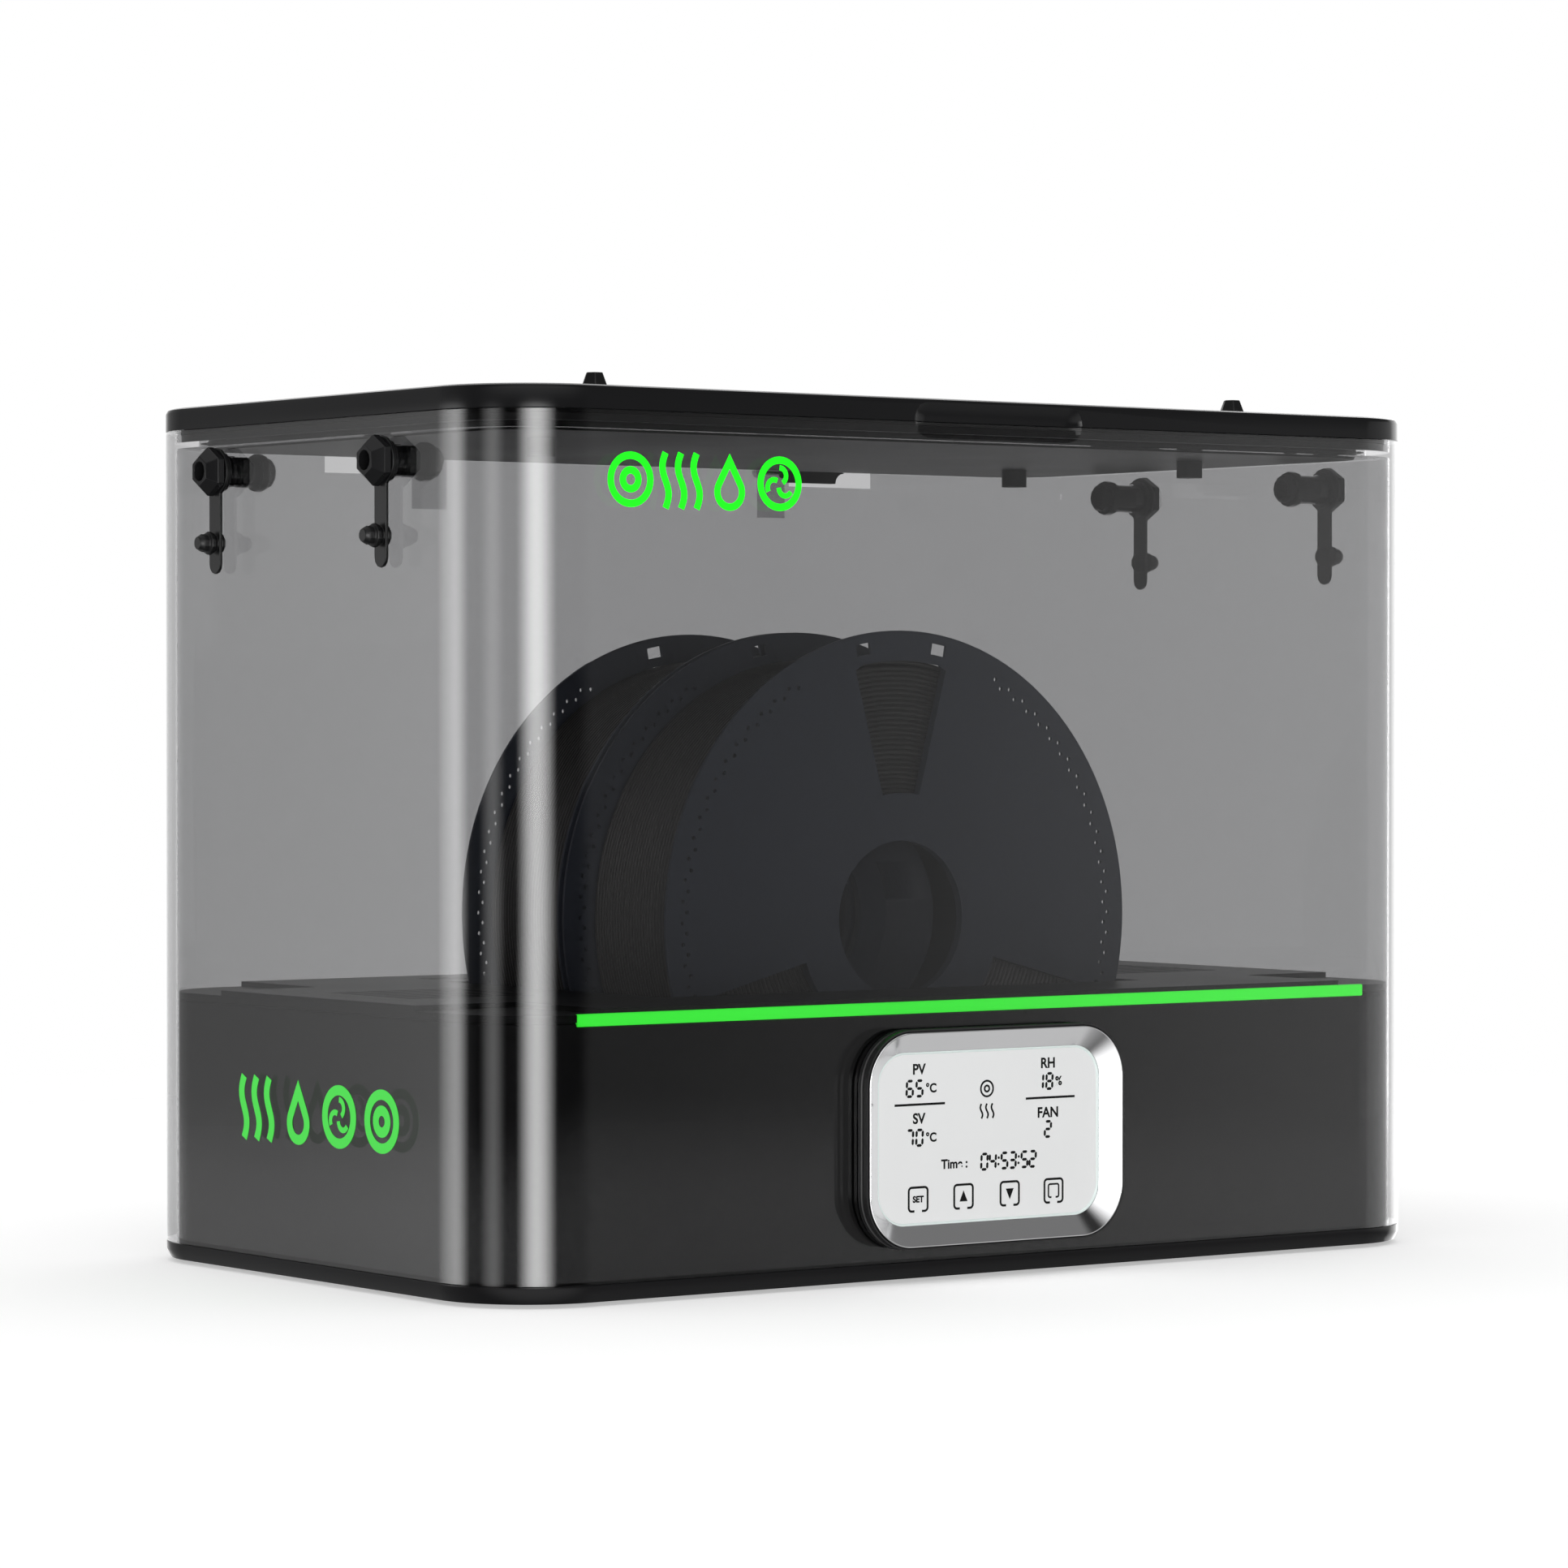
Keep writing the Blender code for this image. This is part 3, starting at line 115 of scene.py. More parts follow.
def parts_of(tree, vector):
    """The X, Y and Z of a vector socket."""
    split = tree.nodes.new("ShaderNodeSeparateXYZ")
    tree.links.new(vector, split.inputs[0])
    return split.outputs


def mixed_shader(tree, share, first, second):
    """Two shaders mixed by a share."""
    mix = tree.nodes.new("ShaderNodeMixShader")
    for socket, source in zip(mix.inputs, (share, first, second)):
        tree.links.new(source, socket)
    return mix.outputs[0]


def softbox(name, start, end, glow, start_feather, end_feather, tall=0.78):
    """A lamp that faces the box from one azimuth to another, turning from front to left.

    It dims towards each side edge over a share of its width.
    """
    wide = 2 * SOFTBOX_REACH * tan(radians(end - start) / 2)
    lamp = bpy.data.lights.new(name, "AREA")
    lamp.shape = "RECTANGLE"
    lamp.size = wide
    lamp.size_y = tall
    lamp.energy = glow * pi * wide * tall
    lamp.use_nodes = True
    tree = lamp.node_tree
    across = parts_of(tree, tree.nodes.new("ShaderNodeNewGeometry").outputs["Parametric"])["X"]
    rise = ramped(tree, across, 1, 1 - start_feather, 0, 1)
    fall = ramped(tree, across, 0, end_feather, 0, 1)
    strength = calculated(tree, "MULTIPLY", rise, fall)
    tree.links.new(strength, tree.nodes["Emission"].inputs["Strength"])
    holder = bpy.data.objects.new(name, lamp)
    turn = radians(start + end) / 2
    outward = Vector((-sin(turn), -cos(turn), 0))
    holder.location = outward * SOFTBOX_REACH + Vector((0, 0, SOFTBOX_HEIGHT))
    holder.rotation_mode = "QUATERNION"
    holder.rotation_quaternion = (-outward).to_track_quat("-Z", "Y")
    holder.visible_camera = False
    holder.visible_transmission = False
    scene.collection.objects.link(holder)


softbox("front_softbox", 8, 50.5, 12.5, 0.52, 0.48)
softbox("side_softbox", 58, 87.7, 2.3, 0.5, 0.57)
softbox("left_softbox", 96.3, 148.2, 7.6, 0.4, 0.98)
softbox("right_softbox", -138, -86, 1.3, 0.2, 0.2, tall=2.2)
ceiling_data = bpy.data.lights.new("ceiling_softbox", "AREA")
ceiling_data.size = CEILING_SIZE
ceiling_data.energy = CEILING_GLOW * pi * CEILING_SIZE**2
ceiling = bpy.data.objects.new("ceiling_softbox", ceiling_data)
ceiling.location = (0, 0, CEILING_HEIGHT)
ceiling.visible_camera = False
ceiling.visible_transmission = False
scene.collection.objects.link(ceiling)

surround = bpy.data.worlds.new("white_surround")
scene.world = surround
surround.use_nodes = True
tree = surround.node_tree
tree.nodes.clear()
ray = tree.nodes.new("ShaderNodeLightPath").outputs
towards = parts_of(tree, tree.nodes.new("ShaderNodeTexCoord").outputs["Generated"])
backdrop = ramped(tree, towards["Y"], 0, 0.8, 0, 0.4)
beside = ramped(tree, towards["X"], 0.36, 0.6, 0.02, 0.2)
far_right = ramped(tree, towards["X"], 0.56, 0.76, 0, 0.9)
behind = calculated(
    tree, "MULTIPLY", ramped(tree, towards["X"], -0.1, 0.4, 0, 1),
    ramped(tree, towards["Y"], 0.1, 0.7, 0, 0.6),
)
below = ramped(tree, towards["Z"], -0.15, -0.6, 0, 0.4)
rightwards = ramped(tree, towards["X"], -0.2, 0.6, 0.1, 1)
lower_room = calculated(tree, "MULTIPLY", below, rightwards)
steep = calculated(tree, "ABSOLUTE", towards["Z"])
level_only = ramped(tree, steep, 0.1, 0.3, 1, 0)
to_front = calculated(tree, "MULTIPLY", towards["Y"], FRONT_SOFTBOX_WAY[1])
to_left = calculated(tree, "MULTIPLY", towards["X"], FRONT_SOFTBOX_WAY[0])
to_softbox = calculated(tree, "ADD", to_front, to_left)
spill = calculated(
    tree, "MULTIPLY", ramped(tree, to_softbox, 0.4, 0.92, 0, 1.6), ramped(tree, steep, 0.1, 0.25, 0, 1)
)
mirrored_level = calculated(tree, "MULTIPLY", far_right, level_only)
for part in (backdrop, beside, behind, lower_room, spill):
    mirrored_level = calculated(tree, "ADD", mirrored_level, part)
seen_white = tree.nodes.new("ShaderNodeBackground")
mirrored = tree.nodes.new("ShaderNodeBackground")
ambient = tree.nodes.new("ShaderNodeBackground")
for shade in (seen_white, mirrored, ambient):
    shade.inputs["Color"].default_value = (1, 1, 1, 1)
ambient.inputs["Strength"].default_value = ROOM_LIGHT
tree.links.new(mirrored_level, mirrored.inputs["Strength"])
straight = calculated(tree, "LESS_THAN", ray["Glossy Depth"], 0.5)
seen_through = calculated(tree, "MULTIPLY", ray["Is Transmission Ray"], straight)
looked_at = calculated(tree, "MAXIMUM", ray["Is Camera Ray"], seen_through)
bounced = calculated(tree, "MAXIMUM", ray["Is Glossy Ray"], ray["Is Transmission Ray"])
unseen = mixed_shader(tree, bounced, ambient.outputs[0], mirrored.outputs[0])
shown = mixed_shader(tree, looked_at, unseen, seen_white.outputs[0])
tree.links.new(shown, tree.nodes.new("ShaderNodeOutputWorld").inputs["Surface"])

floor_mesh = bpy.data.meshes.new("floor")
floor_corners = [
    (u * FLOOR_HALF, v * FLOOR_HALF, FLOOR_LEVEL) for u, v in ((-1, -1), (1, -1), (1, 1), (-1, 1))
]
floor_mesh.from_pydata(floor_corners, [], [(0, 1, 2, 3)])
floor = bpy.data.objects.new("floor", floor_mesh)
floor.visible_glossy = False
floor.visible_shadow = False
scene.collection.objects.link(floor)
floor_look = bpy.data.materials.new("pale_floor")
floor_look.use_nodes = True
tree = floor_look.node_tree
tree.nodes.clear()
ray = tree.nodes.new("ShaderNodeLightPath").outputs
glow = tree.nodes.new("ShaderNodeEmission")
glow.inputs["Color"].default_value = (0.42, 0.42, 0.42, 1)
looked_at = calculated(tree, "MAXIMUM", ray["Is Camera Ray"], ray["Is Transmission Ray"])
tree.links.new(looked_at, glow.inputs["Strength"])
paint = tree.nodes.new("ShaderNodeBsdfDiffuse")
paint.inputs["Color"].default_value = (0.82, 0.82, 0.82, 1)
both = tree.nodes.new("ShaderNodeAddShader")
tree.links.new(glow.outputs[0], both.inputs[0])
tree.links.new(paint.outputs[0], both.inputs[1])
far_off = tree.nodes.new("ShaderNodeVectorMath")
far_off.operation = "LENGTH"
tree.links.new(tree.nodes.new("ShaderNodeTexCoord").outputs["Object"], far_off.inputs[0])
faded = ramped(tree, far_off.outputs["Value"], FLOOR_FADE_START, FLOOR_FADE_END, 0, 1)
open_air = tree.nodes.new("ShaderNodeBsdfTransparent")
paled = mixed_shader(tree, faded, both.outputs[0], open_air.outputs[0])
tree.links.new(paled, tree.nodes.new("ShaderNodeOutputMaterial").inputs["Surface"])
floor_mesh.materials.append(floor_look)

# Base tray and feet: a shallow injection-moulded dish in satin black plastic that closes the box
# below, with four soft round feet pressed into its underside.
BLACK = (0.0085, 0.0085, 0.009)
SOOT = (0.004, 0.004, 0.0043)
CORNER_RADIUS = 0.036
EDGE_ANGLE, SHARP_ANGLE, FLAT_ANGLE = radians(32), radians(50), radians(0.3)
ARC_STEP_LEAST, ARC_STEP_MOST = radians(2), radians(31)
MERGE_WITHIN, LEVEL_WITHIN, ROUND_WITHIN, ARC_RADIUS_LEAST = 2e-6, 1e-5, 2e-5, 1e-3


def surface_group():
    """Fine moulded grain with broad, faint differences of colour and gloss."""
    group = bpy.data.node_groups.new("moulded_surface", "ShaderNodeTree")
    for name, kind in (("Colour", "Color"), ("Grain Scale", "Float"), ("Grain Depth", "Float"),
                       ("Dullness", "Float"), ("Unevenness", "Float")):
        group.interface.new_socket(name, in_out="INPUT", socket_type="NodeSocket" + kind)
    for name, kind in (("Colour", "Color"), ("Roughness", "Float"), ("Height", "Float")):
        group.interface.new_socket(name, in_out="OUTPUT", socket_type="NodeSocket" + kind)
    taken = group.nodes.new("NodeGroupInput").outputs
    given = group.nodes.new("NodeGroupOutput").inputs
    where = group.nodes.new("ShaderNodeTexCoord").outputs["Object"]
    grain = group.nodes.new("ShaderNodeTexNoise")
    grain.inputs["Detail"].default_value = 3
    broad = group.nodes.new("ShaderNodeTexNoise")
    broad.inputs["Scale"].default_value = 14
    broad.inputs["Detail"].default_value = 5
    for texture in (grain, broad):
        group.links.new(where, texture.inputs["Vector"])
    group.links.new(taken["Grain Scale"], grain.inputs["Scale"])
    shift = calculated(group, "SUBTRACT", broad.outputs["Fac"], 0.5)
    swing = calculated(group, "MULTIPLY", shift, taken["Unevenness"])
    group.links.new(calculated(group, "ADD", taken["Dullness"], swing), given["Roughness"])
    tint = group.nodes.new("ShaderNodeVectorMath")
    tint.operation = "SCALE"
    group.links.new(taken["Colour"], tint.inputs[0])
    group.links.new(calculated(group, "ADD", swing, 1), tint.inputs["Scale"])
    group.links.new(tint.outputs[0], given["Colour"])
    deep = calculated(group, "MULTIPLY", grain.outputs["Fac"], taken["Grain Depth"])
    group.links.new(deep, given["Height"])
    return group


MOULDED_SURFACE = surface_group()


def moulded(
    name, colour, dullness, grain=900, depth=1.0, unevenness=0.12, bump=0.08, metallic=0.0, sheen=0.5
):
    """A material on the shared grain; the shader's plain values stay on its own sockets."""
    look = bpy.data.materials.new(name)
    look.use_nodes = True
    tree = look.node_tree
    shader = tree.nodes["Principled BSDF"]
    shader.inputs["Metallic"].default_value = metallic
    shader.inputs["Specular IOR Level"].default_value = sheen
    surface = tree.nodes.new("ShaderNodeGroup")
    surface.node_tree = MOULDED_SURFACE
    surface.inputs["Colour"].default_value = (*colour, 1)
    surface.inputs["Grain Scale"].default_value = grain
    surface.inputs["Grain Depth"].default_value = depth
    surface.inputs["Dullness"].default_value = dullness
    surface.inputs["Unevenness"].default_value = unevenness
    tree.links.new(surface.outputs["Colour"], shader.inputs["Base Color"])
    tree.links.new(surface.outputs["Roughness"], shader.inputs["Roughness"])
    relief = tree.nodes.new("ShaderNodeBump")
    relief.inputs["Strength"].default_value = bump
    relief.inputs["Distance"].default_value = 0.0002
    tree.links.new(surface.outputs["Height"], relief.inputs["Height"])
    tree.links.new(relief.outputs["Normal"], shader.inputs["Normal"])
    look.diffuse_color = (*colour, 1)
    return look


GRAINED_BLACK = moulded("grained_black", SOOT, 0.42, sheen=0.1)
SATIN_BLACK = moulded("satin_black", BLACK, 0.12, grain=1200, bump=0.01, sheen=0.13)
DEEP_BLACK = moulded("deep_black", SOOT, 0.45, sheen=0.1)
SOFT_SILICONE = moulded("soft_silicone", SOOT, 0.38, grain=1600, bump=0.04, sheen=0.3)


def new_piece(name, data):
    """An object in the scene for a mesh or a curve."""
    piece = bpy.data.objects.new(name, data)
    scene.collection.objects.link(piece)
    return piece


def plain_mesh(piece):
    """The piece as a plain mesh at the origin, with its modifiers made part of it."""
    bpy.context.view_layer.update()
    graph = bpy.context.evaluated_depsgraph_get()
    mesh = bpy.data.meshes.new_from_object(piece.evaluated_get(graph))
    mesh.transform(piece.matrix_world)
    name = piece.name
    bpy.data.objects.remove(piece, do_unlink=True)
    return new_piece(name, mesh)


def softened(piece, width, segments=2):
    """Rounds the moulded edges, then lets the large flat faces keep their own normals."""
    if width:
        bevel = piece.modifiers.new("edges", "BEVEL")
        bevel.width = width
        bevel.segments = segments
        bevel.limit_method = "ANGLE"
        bevel.angle_limit = EDGE_ANGLE
        bevel.use_clamp_overlap = True
    piece.data.shade_smooth()
    piece.data.set_sharp_from_angle(angle=SHARP_ANGLE)
    flat = piece.modifiers.new("flat_faces", "WEIGHTED_NORMAL")
    flat.keep_sharp = True
    flat.weight = 100
    return plain_mesh(piece)


def finer_arcs(work, axis, middle, quarter, cuts):
    """Splits each edge that spans an arc round an axis, and puts the new points on the arc."""
    radius = work.verts.layers.float.get("radius") or work.verts.layers.float.new("radius")

    def across(vert):
        offset = vert.co - middle
        offset[axis] = 0
        return offset

    def outside(offset):
        flat = [offset[i] for i in range(3) if i != axis]
        return any(side * value < -LEVEL_WITHIN for side, value in zip(quarter, flat))

    for vert in work.verts:
        vert[radius] = across(vert).length
    known = set(work.verts)
    arcs = []
    for edge in work.edges:
        a, b = (across(vert) for vert in edge.verts)
        climb = abs(edge.verts[0].co[axis] - edge.verts[1].co[axis])
        if climb > LEVEL_WITHIN or min(a.length, b.length) < ARC_RADIUS_LEAST:
            continue
        if abs(a.length - b.length) > ROUND_WITHIN or outside(a) or outside(b):
            continue
        if ARC_STEP_LEAST < a.angle(b) < ARC_STEP_MOST:
            arcs.append(edge)
    bmesh.ops.subdivide_edges(work, edges=arcs, cuts=cuts, use_grid_fill=True)
    for vert in work.verts:
        if vert not in known:
            offset = across(vert)
            vert.co += offset * (vert[radius] / offset.length - 1)


def refined(node, width=0.0, segments=2, arcs=()):
    """A merged copy of a CAD node with finer arcs and rounded edges, to stand for that node."""
    piece = new_piece(node + "_finish", frame["nodes"][node].data.copy())
    piece.data.materials.clear()
    if piece.data.has_custom_normals:
        with bpy.context.temp_override(object=piece, active_object=piece, selected_objects=[piece]):
            bpy.ops.mesh.customdata_custom_splitnormals_clear()
    work = bmesh.new()
    work.from_mesh(piece.data)
    bmesh.ops.remove_doubles(work, verts=work.verts, dist=MERGE_WITHIN)
    bmesh.ops.dissolve_limit(work, angle_limit=FLAT_ANGLE, verts=work.verts, edges=work.edges)
    for arc in arcs:
        finer_arcs(work, *arc)
    work.to_mesh(piece.data)
    work.free()
    return softened(piece, width, segments)


def dressed(piece, look, body, slot, *stands_for):
    """Gives a finished piece its material, attaches it to its body and hides the nodes that it shows."""
    if look:
        piece.data.materials.clear()
        piece.data.materials.append(look)
    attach(piece, body)
    if stands_for:
        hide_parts(*stands_for)
    return piece


SIDES = ("left", "right")
WAYS = ("front", "rear")
sleeve_low, sleeve_high = (Vector(corner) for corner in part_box("outer_shell"))
BOX_CORNERS = [
    (2, Vector((u * (sleeve_high.x - CORNER_RADIUS), v * (sleeve_high.y - CORNER_RADIUS), 0)), (u, v), 3)
    for u in (-1, 1) for v in (-1, 1)
]
dressed(refined("base_tray", 0.0005, arcs=BOX_CORNERS), SATIN_BLACK, "base", "black_plastic", "base_tray")
for way in WAYS:
    for side in SIDES:
        foot = f"foot_{way}_{side}"
        dressed(refined(foot, 0.0003), SOFT_SILICONE, "base", "silicone", foot)

# Lower housing and deck: the black wall inside the sleeve and the stepped plate on it, both moulded
# with a fine grain, with a light bar let into their front edge.
GREEN = (0.035, 0.86, 0.035)

dressed(
    refined("lower_housing", 0.0004, arcs=BOX_CORNERS), GRAINED_BLACK, "base", "black_plastic",
    "lower_housing",
)
dressed(refined("deck_panel", arcs=BOX_CORNERS), GRAINED_BLACK, "base", "black_plastic", "deck_panel")


def lit(name, colour, strength, dullness):
    """A plastic glowing in its own colour, faintly uneven as a diffuser is: a lamp in the light bar, painted
    glow on the printed signs.
    """
    look = moulded(name, colour, dullness, grain=500, bump=0.02, unevenness=0.06)
    shader = look.node_tree.nodes["Principled BSDF"]
    shader.inputs["Emission Color"].default_value = (*colour, 1)
    shader.inputs["Emission Strength"].default_value = strength
    return look


GREEN_LIGHT = lit("green_light", GREEN, 1.15, 0.4)
dressed(refined("light_strip", 0.0004), GREEN_LIGHT, "base", "green_light", "light_strip")

# Air path: grilles in the deck, ducts, finned heaters and two axial fans below them, all closed in
# by the housing and seen only from below or with the lid open.
BARE_FINS = moulded("bare_fins", (0.62, 0.62, 0.63), 0.35, grain=300, metallic=1.0)
for side in SIDES:
    for name in ("air_grille_", "air_duct_", "fan_frame_"):
        dressed(refined(name + side), GRAINED_BLACK, "base", "black_plastic", name + side)
    dressed(refined("fan_rotor_" + side), GRAINED_BLACK, "fan_" + side, "black_plastic", "fan_rotor_" + side)
    dressed(refined("heater_block_" + side), BARE_FINS, "base", "heater_fins", "heater_block_" + side)

# Electronics: control board, power board and humidity sensor with their components, and the mains
# inlet in the back wall, a moulded socket with three blades.
SOLDER_MASK = moulded("solder_mask", (0.012, 0.09, 0.035), 0.35, grain=250)
for name in ("control_board", "power_board", "humidity_sensor"):
    dressed(refined(name), SOLDER_MASK, "base", "board_green", name)
dressed(refined("power_inlet", 0.0003), GRAINED_BLACK, "base", "black_plastic", "power_inlet")

# Display: a dark grooved ring through the sleeve's window, a dished bezel with a bright satin plating,
# a clear lip inside it, and a white panel with printed figures and four touch keys.
DISPLAY_X, DISPLAY_Z, DISPLAY_FRONT = -0.00475, 0.0483, -0.1241
BEZEL_SIZE, BEZEL_RADIUS, RIM_DEEP = (0.1095, 0.0722), 0.018, 0.0022
SCREEN_SIZE, SCREEN_RADIUS, DISH_WALL = (0.0958, 0.0585), 0.0112, 0.0012
SCREEN_FRONT, SCREEN_BACK, SCREEN_LAP = -0.1188, -0.1172, 0.0009
BEZEL_STEP, LIP_TALL = 0.0003, 0.0005
CORNER_POINTS = 20
SILVER = (0.8, 0.8, 0.81)
SATIN_SILVER = moulded("satin_silver", SILVER, 0.13, grain=120, unevenness=0.05, bump=0.01, metallic=1.0)
WHITE_PANEL = moulded("white_panel", (0.76, 0.765, 0.765), 0.3, grain=300, unevenness=0.03, bump=0.01)
CLEAR_LIP = moulded("clear_lip", (0.72, 0.8, 0.78), 0.2, grain=300, unevenness=0.03, bump=0.01)
PRINTED_BLACK = moulded("printed_black", (0.006, 0.006, 0.006), 0.6, grain=2000, bump=0.02, sheen=0.1)
RING_BLACK = moulded("ring_black", BLACK, 0.3, grain=1200, bump=0.02)


def rounded(size, radius, y, inset=0.0):
    """A rounded rectangle on the display's front, shrunk by an inset, as points at one depth."""
    wide, tall = (half / 2 - radius for half in size)
    points = []
    for quarter, (u, v) in enumerate(((1, 1), (-1, 1), (-1, -1), (1, -1))):
        for i in range(CORNER_POINTS + 1):
            turn = (quarter + i / CORNER_POINTS) * pi / 2
            reach = radius - inset
            points.append(Vector((
                DISPLAY_X + u * wide + reach * cos(turn), y, DISPLAY_Z + v * tall + reach * sin(turn)
            )))
    return points


def lofted(name, rings, ring_closed):
    """A skin over rings with equal numbers of points; a closed one runs from the last ring to the first."""
    work = bmesh.new()
    rows = [[work.verts.new(point) for point in ring] for ring in rings]
    pairs = list(zip(rows, rows[1:])) + ([(rows[-1], rows[0])] if ring_closed else [])
    for a, b in pairs:
        for i in range(len(a)):
            work.faces.new((a[i - 1], a[i], b[i], b[i - 1]))
    if not ring_closed:
        work.faces.new(rows[0])
        work.faces.new(rows[-1])
    bmesh.ops.recalc_face_normals(work, faces=work.faces)
    mesh = bpy.data.meshes.new(name)
    work.to_mesh(mesh)
    work.free()
    return new_piece(name, mesh)


bezel_back = SCREEN_FRONT - BEZEL_STEP
bezel_rings = [
    rounded(BEZEL_SIZE, BEZEL_RADIUS, DISPLAY_FRONT + depth, inset)
    for depth, inset in (
        (RIM_DEEP, DISH_WALL), (RIM_DEEP, 0), (0.0004, 0), (0.0002, 0.0001), (0.00006, 0.00022),
        (0, 0.0004), (0.00006, 0.0006),
    )
]
bezel_rings += [
    rounded(SCREEN_SIZE, SCREEN_RADIUS, bezel_back - depth, -grow)
    for depth, grow in ((BEZEL_STEP, 0), (0, 0), (0, DISH_WALL))
]
dressed(
    softened(lofted("bezel", bezel_rings, True), 0), SATIN_SILVER, "base", "silver_bezel", "display_bezel"
)
lip_rings = [
    rounded(SCREEN_SIZE, SCREEN_RADIUS, y, inset)
    for y, inset in (
        (SCREEN_FRONT, 0.0001), (SCREEN_FRONT - LIP_TALL, 0.0001),
        (SCREEN_FRONT - LIP_TALL, 0.0005), (SCREEN_FRONT, 0.0009),
    )
]
dressed(softened(lofted("screen_lip", lip_rings, True), 0), CLEAR_LIP, "base", "screen_white")
panel_rings = [rounded(SCREEN_SIZE, SCREEN_RADIUS, y, -SCREEN_LAP) for y in (SCREEN_FRONT, SCREEN_BACK)]
dressed(
    softened(lofted("screen_panel", panel_rings, False), 0.0001), WHITE_PANEL, "base", "screen_white",
    "display_screen",
)
straight_x, straight_z = (size / 2 - BEZEL_RADIUS for size in BEZEL_SIZE)
DISPLAY_CORNERS = [
    (1, Vector((DISPLAY_X + u * straight_x, 0, DISPLAY_Z + v * straight_z)), (u, v), 2)
    for u in (-1, 1) for v in (-1, 1)
]
dressed(
    refined("display_housing", 0.0003, arcs=DISPLAY_CORNERS), RING_BLACK, "base", "black_plastic",
    "display_housing",
)


def stroke(points, width):
    """The outline of an open line of a given width, with mitred bends and square ends."""
    sides = ([], [])
    path = [Vector(point) for point in points]
    for i, point in enumerate(path):
        before = (point - path[i - 1]).normalized() if i else None
        after = (path[i + 1] - point).normalized() if i + 1 < len(path) else None
        along = ((before or after) + (after or before)).normalized()
        normal = Vector((-along.y, along.x))
        stretch = 1 / max(0.35, along.dot(after or before))
        for side, sign in zip(sides, (1, -1)):
            side.append(point + normal * sign * stretch * width / 2)
    return [sides[0] + sides[1][::-1]]


def arc(middle, radius, start, sweep, steps=20):
    """Points on an arc, its angles in degrees."""
    turns = [radians(start + sweep * i / steps) for i in range(steps + 1)]
    return [(middle[0] + radius * cos(t), middle[1] + radius * sin(t)) for t in turns]


def circle_line(middle, radius, width, steps=40):
    """The two outlines of a ring."""
    return [arc(middle, radius + sign * width / 2, 0, 360 - 360 / steps, steps - 1) for sign in (1, -1)]


WORD_WEIGHT = 0.00014


def printed(name, outlines, words, place, thick):
    """Flat outlines and words as one thin raised print: made a mesh first, then put in its place."""
    sheets = []
    if outlines:
        sheet = bpy.data.curves.new(name, "CURVE")
        sheet.dimensions = "2D"
        sheet.fill_mode = "BOTH"
        for outline in outlines:
            spline = sheet.splines.new("POLY")
            spline.points.add(len(outline) - 1)
            for point, (x, y) in zip(spline.points, outline):
                point.co = (x, y, 0, 1)
            spline.use_cyclic_u = True
        sheets.append((sheet, Matrix.Identity(4)))
    for text, size, x, y in words:
        sheet = bpy.data.curves.new(name + "_words", "FONT")
        sheet.body = text
        sheet.size = size
        sheet.offset = WORD_WEIGHT
        sheet.align_x = "CENTER"
        sheet.align_y = "CENTER"
        sheets.append((sheet, Matrix.Translation((x, y, 0))))
    work = bmesh.new()
    for sheet, shift in sheets:
        sheet.extrude = thick / 2
        flat = plain_mesh(new_piece(name, sheet))
        flat.data.transform(shift)
        work.from_mesh(flat.data)
        bpy.data.objects.remove(flat, do_unlink=True)
    bmesh.ops.remove_doubles(work, verts=work.verts, dist=1e-6)
    bmesh.ops.recalc_face_normals(work, faces=work.faces)
    bmesh.ops.transform(work, matrix=place, verts=work.verts)
    mesh = bpy.data.meshes.new(name)
    work.to_mesh(mesh)
    work.free()
    return new_piece(name, mesh)


DIGIT_TALL, DIGIT_WIDE, DIGIT_LINE, DIGIT_LEAN = 0.0052, 0.0026, 0.00094, 0.05
DIGIT_STEP, SEGMENT_GAP, COLON_SHARE, COLON_RISE = 0.0041, 0.35, 0.42, 0.0011
SEGMENTS = {
    "0": "abcdef", "1": "bc", "2": "abged", "3": "abgcd", "4": "fgbc",
    "5": "afgcd", "6": "afgedc", "7": "abc", "8": "abcdefg", "9": "gfabcd",
}


def digit(figure, x, y):
    """A leaning seven-segment figure: each segment a bar with pointed ends, apart from the next."""
    half_x, half_y, point = DIGIT_WIDE / 2, DIGIT_TALL / 2, DIGIT_LINE / 2
    ends = {
        "a": ((-1, 1), (1, 1)), "b": ((1, 1), (1, 0)), "c": ((1, 0), (1, -1)), "d": ((-1, -1), (1, -1)),
        "e": ((-1, 0), (-1, -1)), "f": ((-1, 1), (-1, 0)), "g": ((-1, 0), (1, 0)),
    }
    bars = []
    for segment in SEGMENTS[figure]:
        start, end = (Vector((u * half_x, v * half_y)) for u, v in ends[segment])
        along = (end - start).normalized()
        side = Vector((-along.y, along.x)) * point
        near, far = start + along * point * SEGMENT_GAP, end - along * point * SEGMENT_GAP
        bar = [near, near + along * point + side, far - along * point + side, far]
        bar += [far - along * point - side, near + along * point - side]
        bars.append([(x + p.x + DIGIT_LEAN * p.y, y + p.y) for p in bar])
    return bars


def figures(text, x, y, step=DIGIT_STEP):
    """A row of figures, centred; a colon is two dots between its neighbours."""
    advances = [step * (COLON_SHARE if mark == ":" else 1) for mark in text]
    bars = []
    pen = x - sum(advances) / 2
    for mark, advance in zip(text, advances):
        if mark == ":":
            for up in (-1, 1):
                dot = (pen + advance / 2 + up * DIGIT_LEAN * COLON_RISE, y + up * COLON_RISE)
                bars.append(arc(dot, DIGIT_LINE * 0.5, 0, 315, 7))
        else:
            bars += digit(mark, pen + advance / 2, y)
        pen += advance
    return bars


